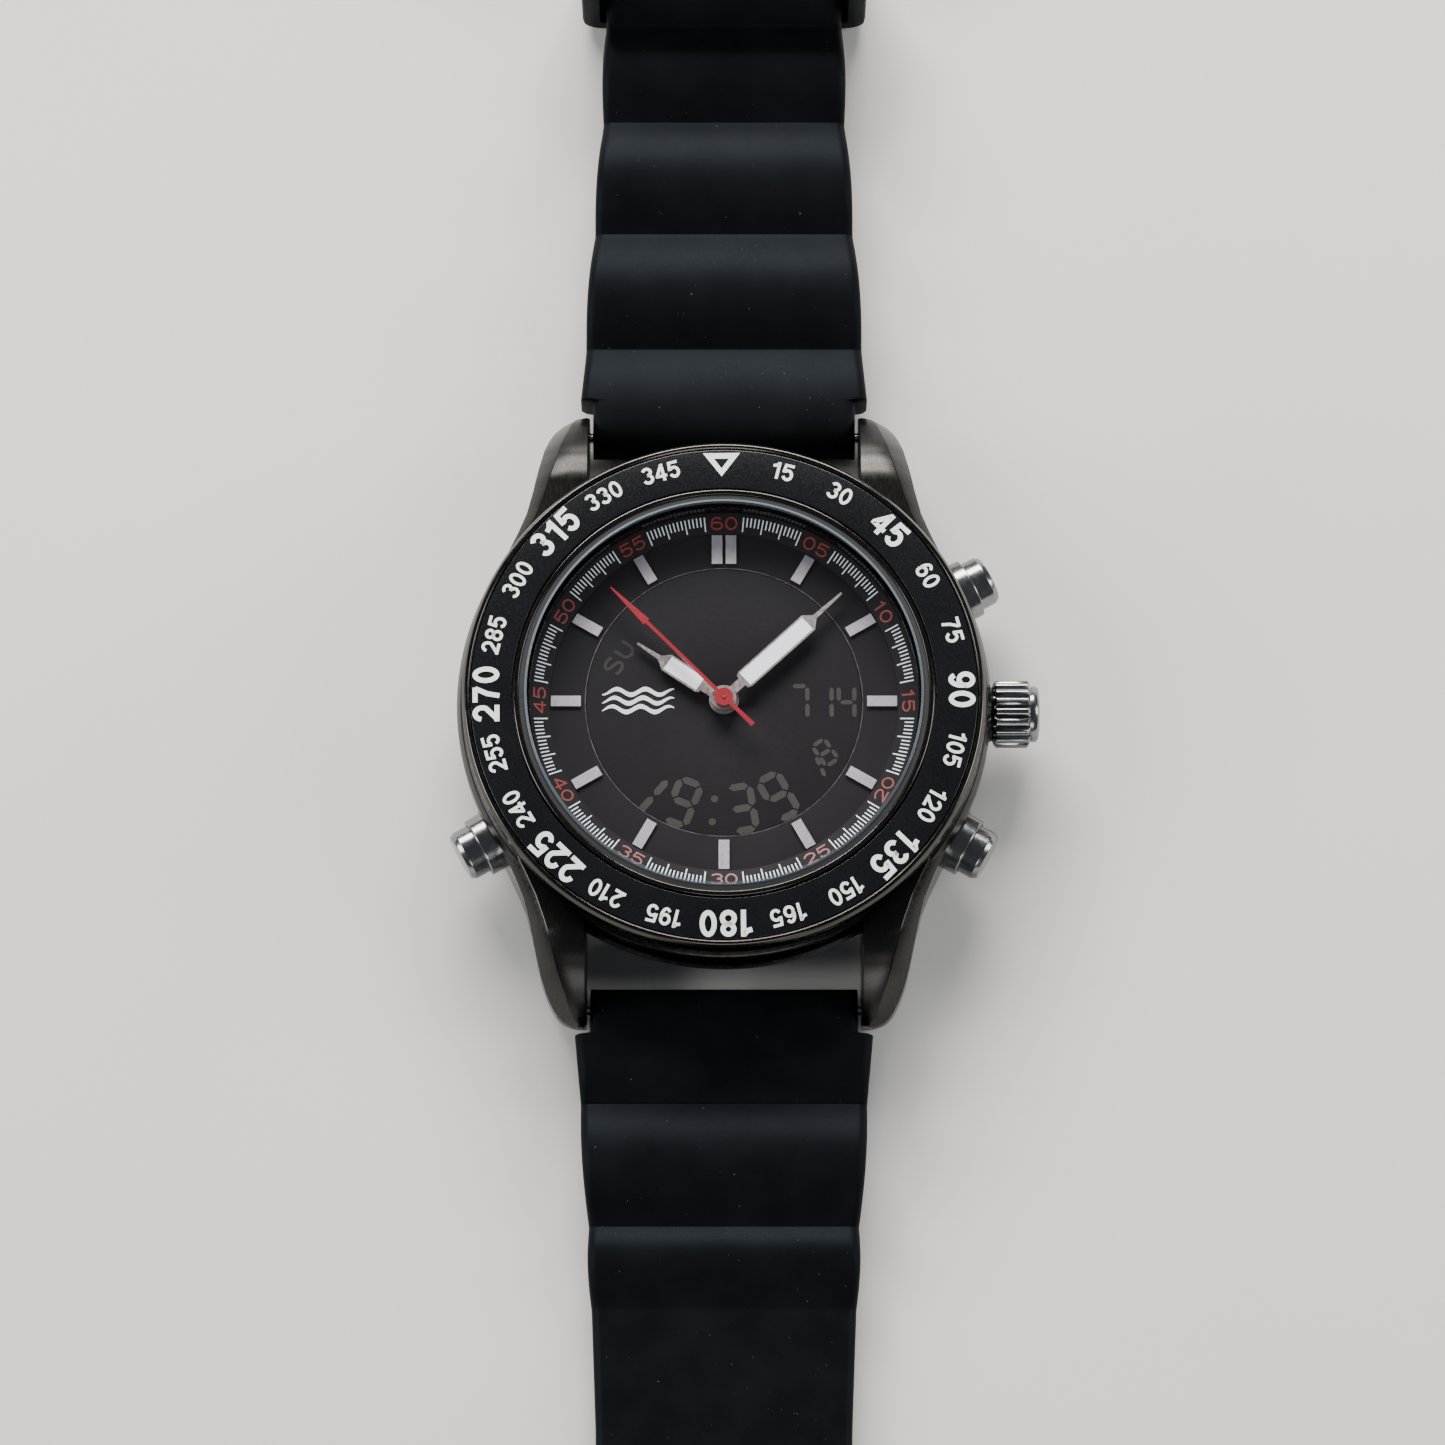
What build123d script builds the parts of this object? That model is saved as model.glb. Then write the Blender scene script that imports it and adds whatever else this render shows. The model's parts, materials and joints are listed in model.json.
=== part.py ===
from build123d import *
from math import cos, degrees, pi, radians, sin
import os

# Analogue and digital dive watch with a rubber strap, laid open on a table.
# Origin: centre of the case back's flat face. +Z leaves the dial, +Y points to 12 o'clock,
# +X points to the crown. All sizes are in millimetres.

# ---------------------------------------------------------------- driving sizes
CASE_R = 21.5
CASE_BORE_R = 15.95
CASE_BOTTOM_Z = 1.0
CASE_TOP_Z = 9.1
NECK_R = 16.85
NECK_TOP_Z = 11.9
CRYSTAL_R = 16.0
CRYSTAL_SEAT_Z = 10.8
CRYSTAL_TOP_Z = 12.2
SIGHT_R = 15.6

BEZEL_R = 21.0
BEZEL_BORE_R = 16.93
BEZEL_BOTTOM_Z = 9.4
BEZEL_TOP_Z = 11.65
INSERT_R = 20.1
INSERT_BED_Z = 11.15

DIAL_R = 15.85
DIAL_TOP_Z = 8.6
DIAL_BACK_Z = 8.2
LCD_WINDOW_R = 11.1
LCD_BACK_Z = 7.1

LUG_GAP = 22.0
BAR_Y = 24.1
BAR_Z = 2.6
BAR_R = 0.75
PIN_R = 0.4
STEM_Z = 4.7

HOUR_Z = 9.05
MINUTE_Z = 9.55
SECOND_Z = 10.05
HAND_T = 0.2
HOUR_ANGLE = 304.0
MINUTE_ANGLE = 47.2
SECOND_ANGLE = 315.0

STRAP_T = 3.0
STRAP_TAIL_W = 20.0
LOOP_R = 1.8
KEEPER_WALL = 1.6
STRAP_LIFT = 1.8
BUCKLE_Y = 100.0
TAIL_END_Y = -144.0

OUT = "parts"


# ---------------------------------------------------------------- helpers
def disc(radius, low, high, x=0.0, y=0.0):
    """Upright cylinder between two heights."""
    return Pos(x, y, low) * Cylinder(
        radius, high - low, align=(Align.CENTER, Align.CENTER, Align.MIN)
    )


def ring(outer, inner, low, high, x=0.0, y=0.0):
    """Upright tube between two heights."""
    return disc(outer, low, high, x, y) - disc(inner, low - 1, high + 1, x, y)


def turned(points):
    """Solid of revolution about Z from a closed list of (radius, height) points."""
    face = make_face(Polyline(*[(r, 0, z) for r, z in points], close=True))
    return revolve(face, Axis.Z, 360)


def block(x0, x1, y0, y1, z0, z1):
    """Box between two corners."""
    centre = Pos((x0 + x1) / 2, (y0 + y1) / 2, (z0 + z1) / 2)
    return centre * Box(x1 - x0, y1 - y0, z1 - z0)


def plate(points, low, high):
    """Flat plate with straight edges between two heights."""
    face = make_face(Polyline(*[(x, y, low) for x, y in points], close=True))
    return extrude(face, high - low, dir=(0, 0, 1))


def rod(radius, start, end, z=STEM_Z):
    """Cylinder along +X between two distances from the watch's axis."""
    axis_x = Pos(start, 0, z) * Rot(0, 90, 0)
    return axis_x * Cylinder(radius, end - start, align=(Align.CENTER, Align.CENTER, Align.MIN))


def pipe(outer, inner, start, end, z=STEM_Z):
    """Tube along +X."""
    return rod(outer, start, end, z) - rod(inner, start - 1, end + 1, z)


def solid(shape):
    """The single solid of a boolean result, or a compound of its solids."""
    found = shape.solids()
    return found[0] if len(found) == 1 else Compound(children=list(found))


def export(name, shape):
    """Write one node."""
    export_step(solid(shape), f"{OUT}/{name}.step")


# ---------------------------------------------------------------- case
def lug_outline():
    """Plan of one lug in the first quadrant, from inside the case to the tip."""
    inner = LUG_GAP / 2
    edges = [
        Line((inner, 12.0), (inner, 25.3)),
        ThreePointArc((inner, 25.3), (inner + 0.12, 25.66), (inner + 0.5, 25.8)),
        Spline((inner + 0.5, 25.8), (13.2, 24.1), (14.4, 21.9), tangents=[(1, -0.15), (0.25, -1)]),
        Spline((14.4, 21.9), (15.2, 18.3), (17.6, 12.4), tangents=[(0.25, -1), (0.55, -1)]),
        Line((17.6, 12.4), (inner, 12.0)),
    ]
    return make_face(Curve() + edges)


def lug_side():
    """Side outline of one lug, along Y and Z."""
    edges = [
        Line((12.0, 1.3), (12.0, 9.0)),
        Line((12.0, 9.0), (19.0, 9.0)),
        Spline((19.0, 9.0), (22.6, 7.0), (25.0, 4.6), tangents=[(1, -0.15), (1, -1.2)]),
        ThreePointArc((25.0, 4.6), (25.75, 3.1), (25.3, 1.6)),
        ThreePointArc((25.3, 1.6), (24.6, 0.95), (23.6, 0.8)),
        Line((23.6, 0.8), (12.0, 1.3)),
    ]
    face = make_face(Curve() + edges)
    return Plane.YZ * face


def make_lugs():
    """Four lugs: the plan outline cut by the side outline."""
    plan = extrude(lug_outline(), 12, dir=(0, 0, 1))
    side = extrude(lug_side(), 20, dir=(1, 0, 0))
    lug = plan & side
    hole = Pos(0, BAR_Y, BAR_Z) * Rot(0, 90, 0) * Cylinder(PIN_R + 0.05, 2 * 12.2)
    lug = lug - hole
    right = Compound(children=[lug])
    pair = [right, mirror(right, Plane.YZ)]
    return pair + [mirror(shape, Plane.XZ) for shape in pair]


def make_case():
    """Mid-case with lugs, crystal neck, crown boss and the cuts for the pushers."""
    body = turned([
        (CASE_BORE_R, 1.9), (16.65, 1.9), (16.65, CASE_BOTTOM_Z), (18.6, CASE_BOTTOM_Z),
        (20.6, 2.0), (CASE_R, 3.6), (CASE_R, 7.8), (21.2, 8.9), (20.9, CASE_TOP_Z),
        (NECK_R, CASE_TOP_Z), (NECK_R, 10.0), (NECK_R - 0.25, 10.0), (NECK_R - 0.25, 10.4),
        (NECK_R, 10.4), (NECK_R, NECK_TOP_Z - 0.15), (NECK_R - 0.15, NECK_TOP_Z),
        (16.42, NECK_TOP_Z), (16.42, CRYSTAL_SEAT_Z), (SIGHT_R, CRYSTAL_SEAT_Z),
        (SIGHT_R, 9.3), (CASE_BORE_R, 9.3),
    ])
    for lug in make_lugs():
        body = body + lug
    body = body - disc(CASE_BORE_R, 0, 9.3)
    body = body - disc(16.65, 0, 1.9)
    body = body + (rod(2.1, 20.0, 22.06) - disc(CASE_R - 0.4, 0, 9))
    body = body - rod(1.25, 14.0, 23.0)
    for angle in PUSHER_ANGLES:
        turn = Rot(0, 0, angle)
        body = body - turn * rod(1.2, 14.0, 24.0)
        body = body - turn * rod(2.5, 20.7, 24.0)
    return body


PUSHER_ANGLES = (28.0, -29.5, 180.0 + 29.5)
PUSHER_NAMES = ("pusher_2", "pusher_4", "pusher_8")


def make_case_back():
    """Screw-in back with six key notches."""
    back = disc(18.4, 0, 0.95) + disc(16.6, 0.5, 1.85)
    back = chamfer(back.edges().sort_by(Axis.Z)[0], 0.3)
    back = back - disc(15.4, 1.3, 3)
    back = back - ring(16.62, 16.05, 1.3, 1.6)
    for step in range(6):
        back = back - Rot(0, 0, 60 * step + 30) * block(17.2, 19.0, -1.1, 1.1, -1, 0.55)
    return back


def make_crystal():
    """Flat mineral crystal with a bevelled rim."""
    crystal = disc(CRYSTAL_R, CRYSTAL_SEAT_Z, CRYSTAL_TOP_Z)
    return chamfer(crystal.edges().sort_by(Axis.Z)[-1], 0.35)


def make_bezel():
    """Rotating bezel ring with a bed for the insert and a groove for its retaining wire."""
    return turned([
        (BEZEL_BORE_R, BEZEL_BOTTOM_Z), (20.6, BEZEL_BOTTOM_Z), (BEZEL_R, 9.8),
        (BEZEL_R, 11.2), (20.85, 11.5), (20.6, BEZEL_TOP_Z), (20.35, BEZEL_TOP_Z),
        (20.15, 11.5), (20.15, INSERT_BED_Z), (BEZEL_BORE_R, INSERT_BED_Z),
        (BEZEL_BORE_R, 10.45), (17.25, 10.45), (17.25, 9.95), (BEZEL_BORE_R, 9.95),
    ])


def make_insert():
    """Printed insert, a shallow cone."""
    return turned([
        (BEZEL_BORE_R + 0.02, INSERT_BED_Z), (INSERT_R, INSERT_BED_Z),
        (INSERT_R, 11.5), (BEZEL_BORE_R + 0.02, 11.72),
    ])


def make_bezel_spring():
    """Thin friction spring with three raised tabs."""
    spring = ring(19.4, 18.0, CASE_TOP_Z, CASE_TOP_Z + 0.12)
    for step in range(3):
        tab = Rot(0, 0, 120 * step) * block(18.2, 19.2, -2.0, 2.0, CASE_TOP_Z + 0.1, BEZEL_BOTTOM_Z - 0.02)
        spring = spring + tab
    return spring


# ---------------------------------------------------------------- dial side
def make_chapter_ring():
    """Raised minute ring round the dial."""
    return turned([
        (13.98, DIAL_TOP_Z), (DIAL_R, DIAL_TOP_Z), (DIAL_R, 9.05), (14.03, DIAL_TOP_Z + 0.14),
    ])


def make_indices():
    """Applied hour bars, doubled at 12 o'clock."""
    bars = []
    for hour in range(12):
        shifts = (-0.56, 0.56) if hour == 0 else (0.0,)
        for shift in shifts:
            bar = block(shift - 0.43, shift + 0.43, 11.5, 13.9, DIAL_TOP_Z, DIAL_TOP_Z + 0.22)
            bars.append(Rot(0, 0, -30 * hour) * bar)
    return Compound(children=bars)


def hand_pair(angle, low, hub_r, bore_r, neck, block_r, block_w, tip_r, lume_margin):
    """A hand with a pocket, and the luminous fill of that pocket."""
    start, end = block_r
    half = block_w / 2
    body = disc(hub_r, low, low + HAND_T)
    arm = [(-neck, 0.4), (neck, 0.4), (neck, start + 0.1), (-neck, start + 0.1)]
    body = body + plate(arm, low, low + HAND_T)
    outline = [
        (-half + 0.15, start), (half - 0.15, start), (half, start + 0.3), (half, end - 0.35),
        (0.2, end + 0.35), (0.09, tip_r), (-0.09, tip_r), (-0.2, end + 0.35), (-half, end - 0.35),
        (-half, start + 0.3),
    ]
    body = body + plate(outline, low, low + HAND_T)
    inner = half - lume_margin
    pocket = block(-inner, inner, start + 0.3, end - 0.45, low + 0.04, low + 1)
    fill = block(-inner, inner, start + 0.3, end - 0.45, low + 0.04, low + HAND_T + 0.03)
    body = body - pocket - disc(bore_r, low - 1, low + 1)
    turn = Rot(0, 0, -angle)
    return turn * body, turn * fill


def make_second_hand():
    """Slender arrow with a counterpoise tail."""
    low = SECOND_Z
    hand = disc(0.73, low, low + 0.16)
    outline = [(-0.2, -3.3), (0.2, -3.3), (0.14, 0), (0.14, 9.2), (-0.14, 9.2), (-0.14, 0)]
    stem = plate(outline, low, low + 0.16)
    arrow = plate([(-0.32, 8.8), (0.32, 8.8), (0.05, 12.9), (-0.05, 12.9)], low, low + 0.16)
    hand = hand + stem + arrow - disc(0.12, low - 1, low + 1)
    return Rot(0, 0, -SECOND_ANGLE) * hand


# ---------------------------------------------------------------- gear train
def gear(teeth, module, low, high, x, y, phase=0.0):
    """Spur gear with slim tapered teeth; phase turns its first tooth, in degrees from +X."""
    pitch_r = teeth * module / 2
    tip_r = pitch_r + 0.85 * module
    root_r = pitch_r - 1.15 * module
    pitch = 2 * pi / teeth
    points = []
    for index in range(teeth):
        centre = radians(phase) + index * pitch
        rising = ((root_r, -0.30), (pitch_r, -0.21), (tip_r, -0.09))
        shape = rising + tuple((radius, -share) for radius, share in reversed(rising))
        for radius, share in shape:
            angle = centre + share * pitch
            points.append((x + radius * cos(angle), y + radius * sin(angle)))
    return plate(points, low, high)


def mesh_phase(teeth, toward):
    """Phase that puts a gap between two teeth on the direction of the mate."""
    return toward + 180.0 / teeth


M_TRAIN = 0.12
TRAIN_CD = M_TRAIN * (8 + 60) / 2
M_CENTRE = 2 * TRAIN_CD / (8 + 64)
M_MOTION = 0.12
MOTION_CD = M_MOTION * (10 + 30) / 2
ROTOR_CD = M_TRAIN * (8 + 32) / 2
THIRD_DIR = -60.0
INTER_DIR = 120.0
ROTOR_DIR = 180.0
MINUTE_DIR = 45.0
THIRD_X = TRAIN_CD * cos(radians(THIRD_DIR))
THIRD_Y = TRAIN_CD * sin(radians(THIRD_DIR))
INTER_X = TRAIN_CD * cos(radians(INTER_DIR))
INTER_Y = TRAIN_CD * sin(radians(INTER_DIR))
ROTOR_X = INTER_X - ROTOR_CD
ROTOR_Y = INTER_Y
MINUTE_X = MOTION_CD * cos(radians(MINUTE_DIR))
MINUTE_Y = MOTION_CD * sin(radians(MINUTE_DIR))

BRIDGE_Z = (3.4, 3.9)
PLATE_Z = (5.3, 6.1)
PILLARS = ((5.3, 2.2), (-0.2, 7.0), (6.6, -5.2))
BATTERY_X = -7.3
BATTERY_Y = -5.85
BATTERY_R = 4.75


def make_seconds_wheel():
    """Wheel of 60, pinion of 8 and the long arbor that carries the second hand."""
    wheel = gear(60, M_TRAIN, 4.10, 4.25, 0, 0, mesh_phase(60, INTER_DIR))
    pinion = gear(8, M_TRAIN, 4.20, 4.70, 0, 0, THIRD_DIR)
    return wheel + pinion + disc(0.11, 3.6, SECOND_Z + 0.28)


def make_third_wheel():
    """Wheel of 60 and pinion of 8 between the seconds wheel and the centre wheel."""
    toward = THIRD_DIR + 180
    wheel = gear(60, M_TRAIN, 4.45, 4.60, THIRD_X, THIRD_Y, mesh_phase(60, toward))
    pinion = gear(8, M_CENTRE, 4.55, 5.12, THIRD_X, THIRD_Y, toward)
    return wheel + pinion + disc(0.1, 3.6, 5.6, THIRD_X, THIRD_Y)


def make_centre_wheel():
    """Wheel of 64 with its tube and the cannon pinion of 10 that carries the minute hand."""
    wheel = gear(64, M_CENTRE, 4.85, 5.00, 0, 0, mesh_phase(64, THIRD_DIR))
    cannon = gear(10, M_MOTION, 6.25, 6.62, 0, 0, MINUTE_DIR)
    tube = disc(0.40, 4.80, MINUTE_Z + HAND_T)
    return wheel + cannon + tube - disc(0.18, 4, 12)


def make_minute_wheel():
    """Wheel of 30 and pinion of 8 of the motion work."""
    toward = MINUTE_DIR + 180
    wheel = gear(30, M_MOTION, 6.30, 6.45, MINUTE_X, MINUTE_Y, mesh_phase(30, toward))
    pinion = gear(8, M_MOTION, 6.40, 6.95, MINUTE_X, MINUTE_Y, toward)
    return wheel + pinion + disc(0.12, 5.8, 6.98, MINUTE_X, MINUTE_Y)


def make_hour_wheel():
    """Wheel of 32 with the tube that carries the hour hand."""
    wheel = gear(32, M_MOTION, 6.70, 6.88, 0, 0, mesh_phase(32, MINUTE_DIR))
    tube = disc(0.72, 6.68, HOUR_Z + HAND_T)
    return wheel + tube - disc(0.47, 6, 12)


def make_intermediate_wheel():
    """Wheel of 32 and pinion of 8 between the rotor and the seconds wheel."""
    wheel = gear(32, M_TRAIN, 4.45, 4.60, INTER_X, INTER_Y, mesh_phase(32, ROTOR_DIR))
    pinion = gear(8, M_TRAIN, 4.02, 4.50, INTER_X, INTER_Y, INTER_DIR + 180)
    return wheel + pinion + disc(0.1, 3.6, 5.6, INTER_X, INTER_Y)


def make_rotor():
    """Magnet, pinion of 8 and arbor of the step motor."""
    pinion = gear(8, M_TRAIN, 4.40, 4.80, ROTOR_X, ROTOR_Y, 0.0)
    magnet = disc(0.75, 4.76, 5.20, ROTOR_X, ROTOR_Y)
    return pinion + magnet + disc(0.1, 3.6, 5.6, ROTOR_X, ROTOR_Y)


# ---------------------------------------------------------------- movement frame
def make_main_plate():
    """Main plate with pillars, pivot holes and slots for the display connectors."""
    main = disc(14.1, *PLATE_Z)
    main = main - disc(0.46, 5, 7)
    for x, y in ((THIRD_X, THIRD_Y), (INTER_X, INTER_Y), (ROTOR_X, ROTOR_Y)):
        main = main - disc(0.13, 5, 5.7, x, y)
    main = main - disc(0.15, 5.7, 7, MINUTE_X, MINUTE_Y)
    for x, y in PILLARS:
        main = main + disc(0.7, BRIDGE_Z[1], PLATE_Z[0] + 0.1, x, y)
        main = main - disc(0.36, 3, PLATE_Z[0], x, y)
    for side in (-1, 1):
        y = side * 10.8
        main = main - block(-5.1, 5.1, y - 0.5, y + 0.5, 5, 7)
    main = main - block(8.6, 15, -1.6, 1.6, 5, 5.5)
    return main


def make_train_bridge():
    """Bridge under the train, on the battery side."""
    outline = [
        (-6.2, 5.4), (-1.4, 8.2), (1.0, 8.0), (6.6, 3.4), (8.0, -4.2), (7.4, -6.4), (1.2, -5.6), (-6.2, 2.0),
    ]
    bridge = plate(outline, *BRIDGE_Z)
    for x, y in ((THIRD_X, THIRD_Y), (INTER_X, INTER_Y), (ROTOR_X, ROTOR_Y), (0, 0)):
        bridge = bridge - disc(0.13, 3, 5, x, y)
    for x, y in PILLARS:
        bridge = bridge - disc(0.4, 3, 5, x, y)
    return bridge


def make_circuit_board():
    """Board with its chip and two small parts, cut away round the battery."""
    board = disc(13.4, 3.0, 3.3)
    board = board - disc(BATTERY_R + 0.4, 2, 4, BATTERY_X, BATTERY_Y)
    board = board - block(-20, BATTERY_X, BATTERY_Y - BATTERY_R, BATTERY_Y + 1.0, 2, 4)
    for x, y in PILLARS:
        board = board - disc(0.45, 2, 4, x, y)
    board = board + block(1.8, 5.4, 8.0, 11.4, 2.3, 3.05)
    board = board + block(8.6, 9.8, 5.2, 7.6, 2.5, 3.05)
    board = board + block(-3.4, -1.4, 9.2, 10.4, 2.5, 3.05)
    return board


def make_movement_ring():
    """Plastic ring that centres the movement, with windows for the stem and pushers."""
    holder = ring(15.8, 14.2, 2.0, DIAL_BACK_Z)
    holder = holder + (ring(14.4, 12.55, PLATE_Z[1], DIAL_BACK_Z))
    holder = holder - block(13.0, 17.0, -1.6, 1.6, 3.0, 6.0)
    for angle in PUSHER_ANGLES:
        holder = holder - Rot(0, 0, angle) * block(13.6, 17.0, -1.6, 1.6, 3.0, 6.0)
    return holder


def make_battery_clip():
    """Sprung strip that holds the battery and stands on the board."""
    clip = block(-5.6, 5.6, -1.2, 1.2, 1.85, 2.0)
    clip = clip + block(5.3, 5.6, -1.2, 1.2, 1.9, 3.0)
    clip = clip + block(-5.6, -5.3, -1.2, 1.2, 1.9, 3.0)
    return Pos(BATTERY_X, BATTERY_Y, 0) * Rot(0, 0, -45) * clip


def make_screws():
    """Three slotted screws that hold board and bridge to the pillars."""
    screws = []
    for x, y in PILLARS:
        screw = disc(0.85, 2.55, 3.0, x, y) + disc(0.33, 2.9, 5.0, x, y)
        slot = block(x - 1, x + 1, y - 0.12, y + 0.12, 2.3, 2.75)
        screws.append(screw - slot)
    return Compound(children=[solid(screw) for screw in screws])


def make_stator():
    """Stator plate with the rotor's hole and two arms to the coil core."""
    x0 = ROTOR_X - 1.5
    x1 = ROTOR_X + 1.5
    stator = block(x0, x1, -1.6, 8.6, 5.06, 5.24)
    stator = stator + block(-9.2, x0 + 0.5, -1.6, -0.4, 5.06, 5.24)
    stator = stator + block(-9.2, x0 + 0.5, 7.4, 8.6, 5.06, 5.24)
    return stator - disc(0.95, 5, 6, ROTOR_X, ROTOR_Y)


def make_coil():
    """Coil and its flat core."""
    coil = block(-9.7, -7.5, 0.4, 6.6, 4.0, 5.24)
    coil = fillet(coil.edges().filter_by(Axis.Y), 0.4)
    core = block(-9.2, -8.0, -1.6, 8.6, 4.84, 5.06)
    return coil + core


# ---------------------------------------------------------------- crown and pushers
def make_crown():
    """Fluted crown, hollow over the case tube, with a domed end."""
    crown = rod(2.75, 22.1, 24.65)
    crown = chamfer(crown.edges().group_by(Axis.X)[0], 0.25)
    seat = (Align.CENTER, Align.CENTER, Align.MIN)
    dome = Pos(24.2, 0, STEM_Z) * Rot(0, 90, 0) * Cone(2.65, 1.7, 1.3, align=seat)
    crown = crown + dome
    for index in range(18):
        angle = radians(20 * index)
        y = 2.95 * cos(angle)
        z = STEM_Z + 2.95 * sin(angle)
        flute = Pos(23.15, y, z) * Rot(0, 90, 0) * Cylinder(0.36, 2.2)
        crown = crown - flute
    crown = crown - rod(1.95, 22.0, 23.7)
    return crown - rod(0.42, 23.0, 24.4)


def make_stem():
    """Stem with the setting lever's groove and a threaded end in the crown."""
    stem = rod(0.6, 9.2, 23.7) + rod(0.4, 23.6, 24.35)
    return stem - pipe(1.0, 0.35, 12.4, 13.1)


def make_crown_tube():
    """Tube through the case wall, with the collar that the crown's gasket runs on."""
    wall = pipe(1.22, 0.66, 16.2, 22.1)
    return wall + pipe(1.45, 0.66, 22.06, 23.2)


def make_setting_lever():
    """Forked lever that follows the stem's groove."""
    lever = block(12.5, 13.0, -1.1, 1.1, 4.0, 5.2)
    lever = lever - block(12, 14, -0.42, 0.42, 4.2, 6)
    lever = lever + block(10.2, 13.0, -1.1, 1.1, 3.75, 4.0)
    return lever


def make_collars():
    """Guide tubes of the three pushers."""
    parts = []
    for angle in PUSHER_ANGLES:
        collar = rod(2.48, 20.72, 22.6) + rod(1.18, 16.2, 21.0)
        collar = chamfer(collar.edges().group_by(Axis.X)[-1], 0.15)
        collar = collar - rod(2.2, 21.0, 23.0) - rod(0.65, 14, 23)
        parts.append(Rot(0, 0, angle) * solid(collar))
    return Compound(children=parts)


def make_pusher():
    """Pusher cap with its stem, spring pocket and clip groove."""
    cap = rod(2.125, 21.95, 24.0)
    cap = fillet(cap.edges().group_by(Axis.X)[-1], 0.45)
    cap = cap - pipe(1.75, 0.8, 21.0, 23.35)
    stem = rod(0.6, 15.1, 22.5) - pipe(1.0, 0.42, 15.55, 15.85)
    return cap + stem


def make_pusher_spring():
    """Return spring, shown at its pressed length."""
    turns = 4
    pitch = (23.3 - 21.9 - 0.3) / turns
    coils = []
    for index in range(turns + 1):
        centre = Pos(22.07 + pitch * index, 0, STEM_Z) * Rot(0, 90, 0)
        coils.append(centre * Torus(1.25, 0.12))
    return Compound(children=coils)


def make_pusher_clip():
    """Open clip in the stem's groove that keeps the pusher in."""
    clip = pipe(1.05, 0.46, 15.6, 15.8)
    return clip - block(15, 16.5, -0.3, 0.3, STEM_Z, STEM_Z + 2)


# ---------------------------------------------------------------- strap
def wave_top(start, creases, end, valley, crest):
    """Arched ribs between creases, as edges along Y and Z."""
    marks = [start] + list(creases) + [end]
    edges = []
    for near, far in zip(marks[:-1], marks[1:]):
        middle = near + 0.42 * (far - near)
        edges.append(ThreePointArc((near, valley(near)), (middle, crest(middle)), (far, valley(far))))
    return edges


def side_profile(edges):
    """Face in the YZ plane from edges drawn as (y, z)."""
    return Plane.YZ * make_face(Curve() + edges)


def tapered_plan(stations):
    """Plan of the strap, symmetric about X = 0, from (y, half width) stations."""
    right = [(half, y) for y, half in stations]
    left = [(-half, y) for y, half in reversed(stations)]
    return right + left


CREASES_12 = (31.6, 41.3, 50.9)
RIBS_END_12 = 59.5
CREASES_6 = (31.6, 40.6)
RIBS_END_6 = 48.5
SHOULDER_Y = 26.6


def make_buckle_strap():
    """Short strap at 12 o'clock, ribbed near the case and forked round the buckle bar."""
    top_z = STRAP_LIFT + STRAP_T

    def valley(y):
        return 3.9 if y < RIBS_END_12 else top_z

    def crest(y):
        return 5.3

    ribs = wave_top(SHOULDER_Y + 0.2, CREASES_12, RIBS_END_12, valley, crest)
    edges = ribs + [
        Line((RIBS_END_12, top_z), (BUCKLE_Y, top_z)),
        Line((BUCKLE_Y, top_z), (BUCKLE_Y, STRAP_LIFT)),
        Line((BUCKLE_Y, STRAP_LIFT), (58.0, STRAP_LIFT)),
        Line((58.0, STRAP_LIFT), (30.0, 0.9)),
        Line((30.0, 0.9), (BAR_Y, BAR_Z - LOOP_R)),
        Line((BAR_Y, BAR_Z - LOOP_R), (BAR_Y, BAR_Z + LOOP_R)),
        Line((BAR_Y, BAR_Z + LOOP_R), (SHOULDER_Y + 0.2, 3.9)),
    ]
    body = extrude(side_profile(edges), 13, dir=(1, 0, 0), both=True)
    stations = [(20.0, 10.7), (SHOULDER_Y, 10.7), (SHOULDER_Y, 11.95), (29.6, 11.95), (39.5, 11.2),
                (49.4, 10.4), (59.0, 9.9), (104.0, 9.9)]
    body = body & plate(tapered_plan(stations), -2, 9)
    body = body + strap_loop(BAR_Y, BAR_Z, LOOP_R, 10.7)
    body = body + strap_loop(BUCKLE_Y, STRAP_LIFT + STRAP_T / 2, STRAP_T / 2, 9.9)
    body = body - across(BAR_Y, BAR_Z, BAR_R + 0.1, 30)
    body = body - across(BUCKLE_Y, STRAP_LIFT + STRAP_T / 2, BAR_R + 0.1, 30)
    return body - block(-2.0, 2.0, BUCKLE_Y - 4.5, BUCKLE_Y + 5, -1, 9)


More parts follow.
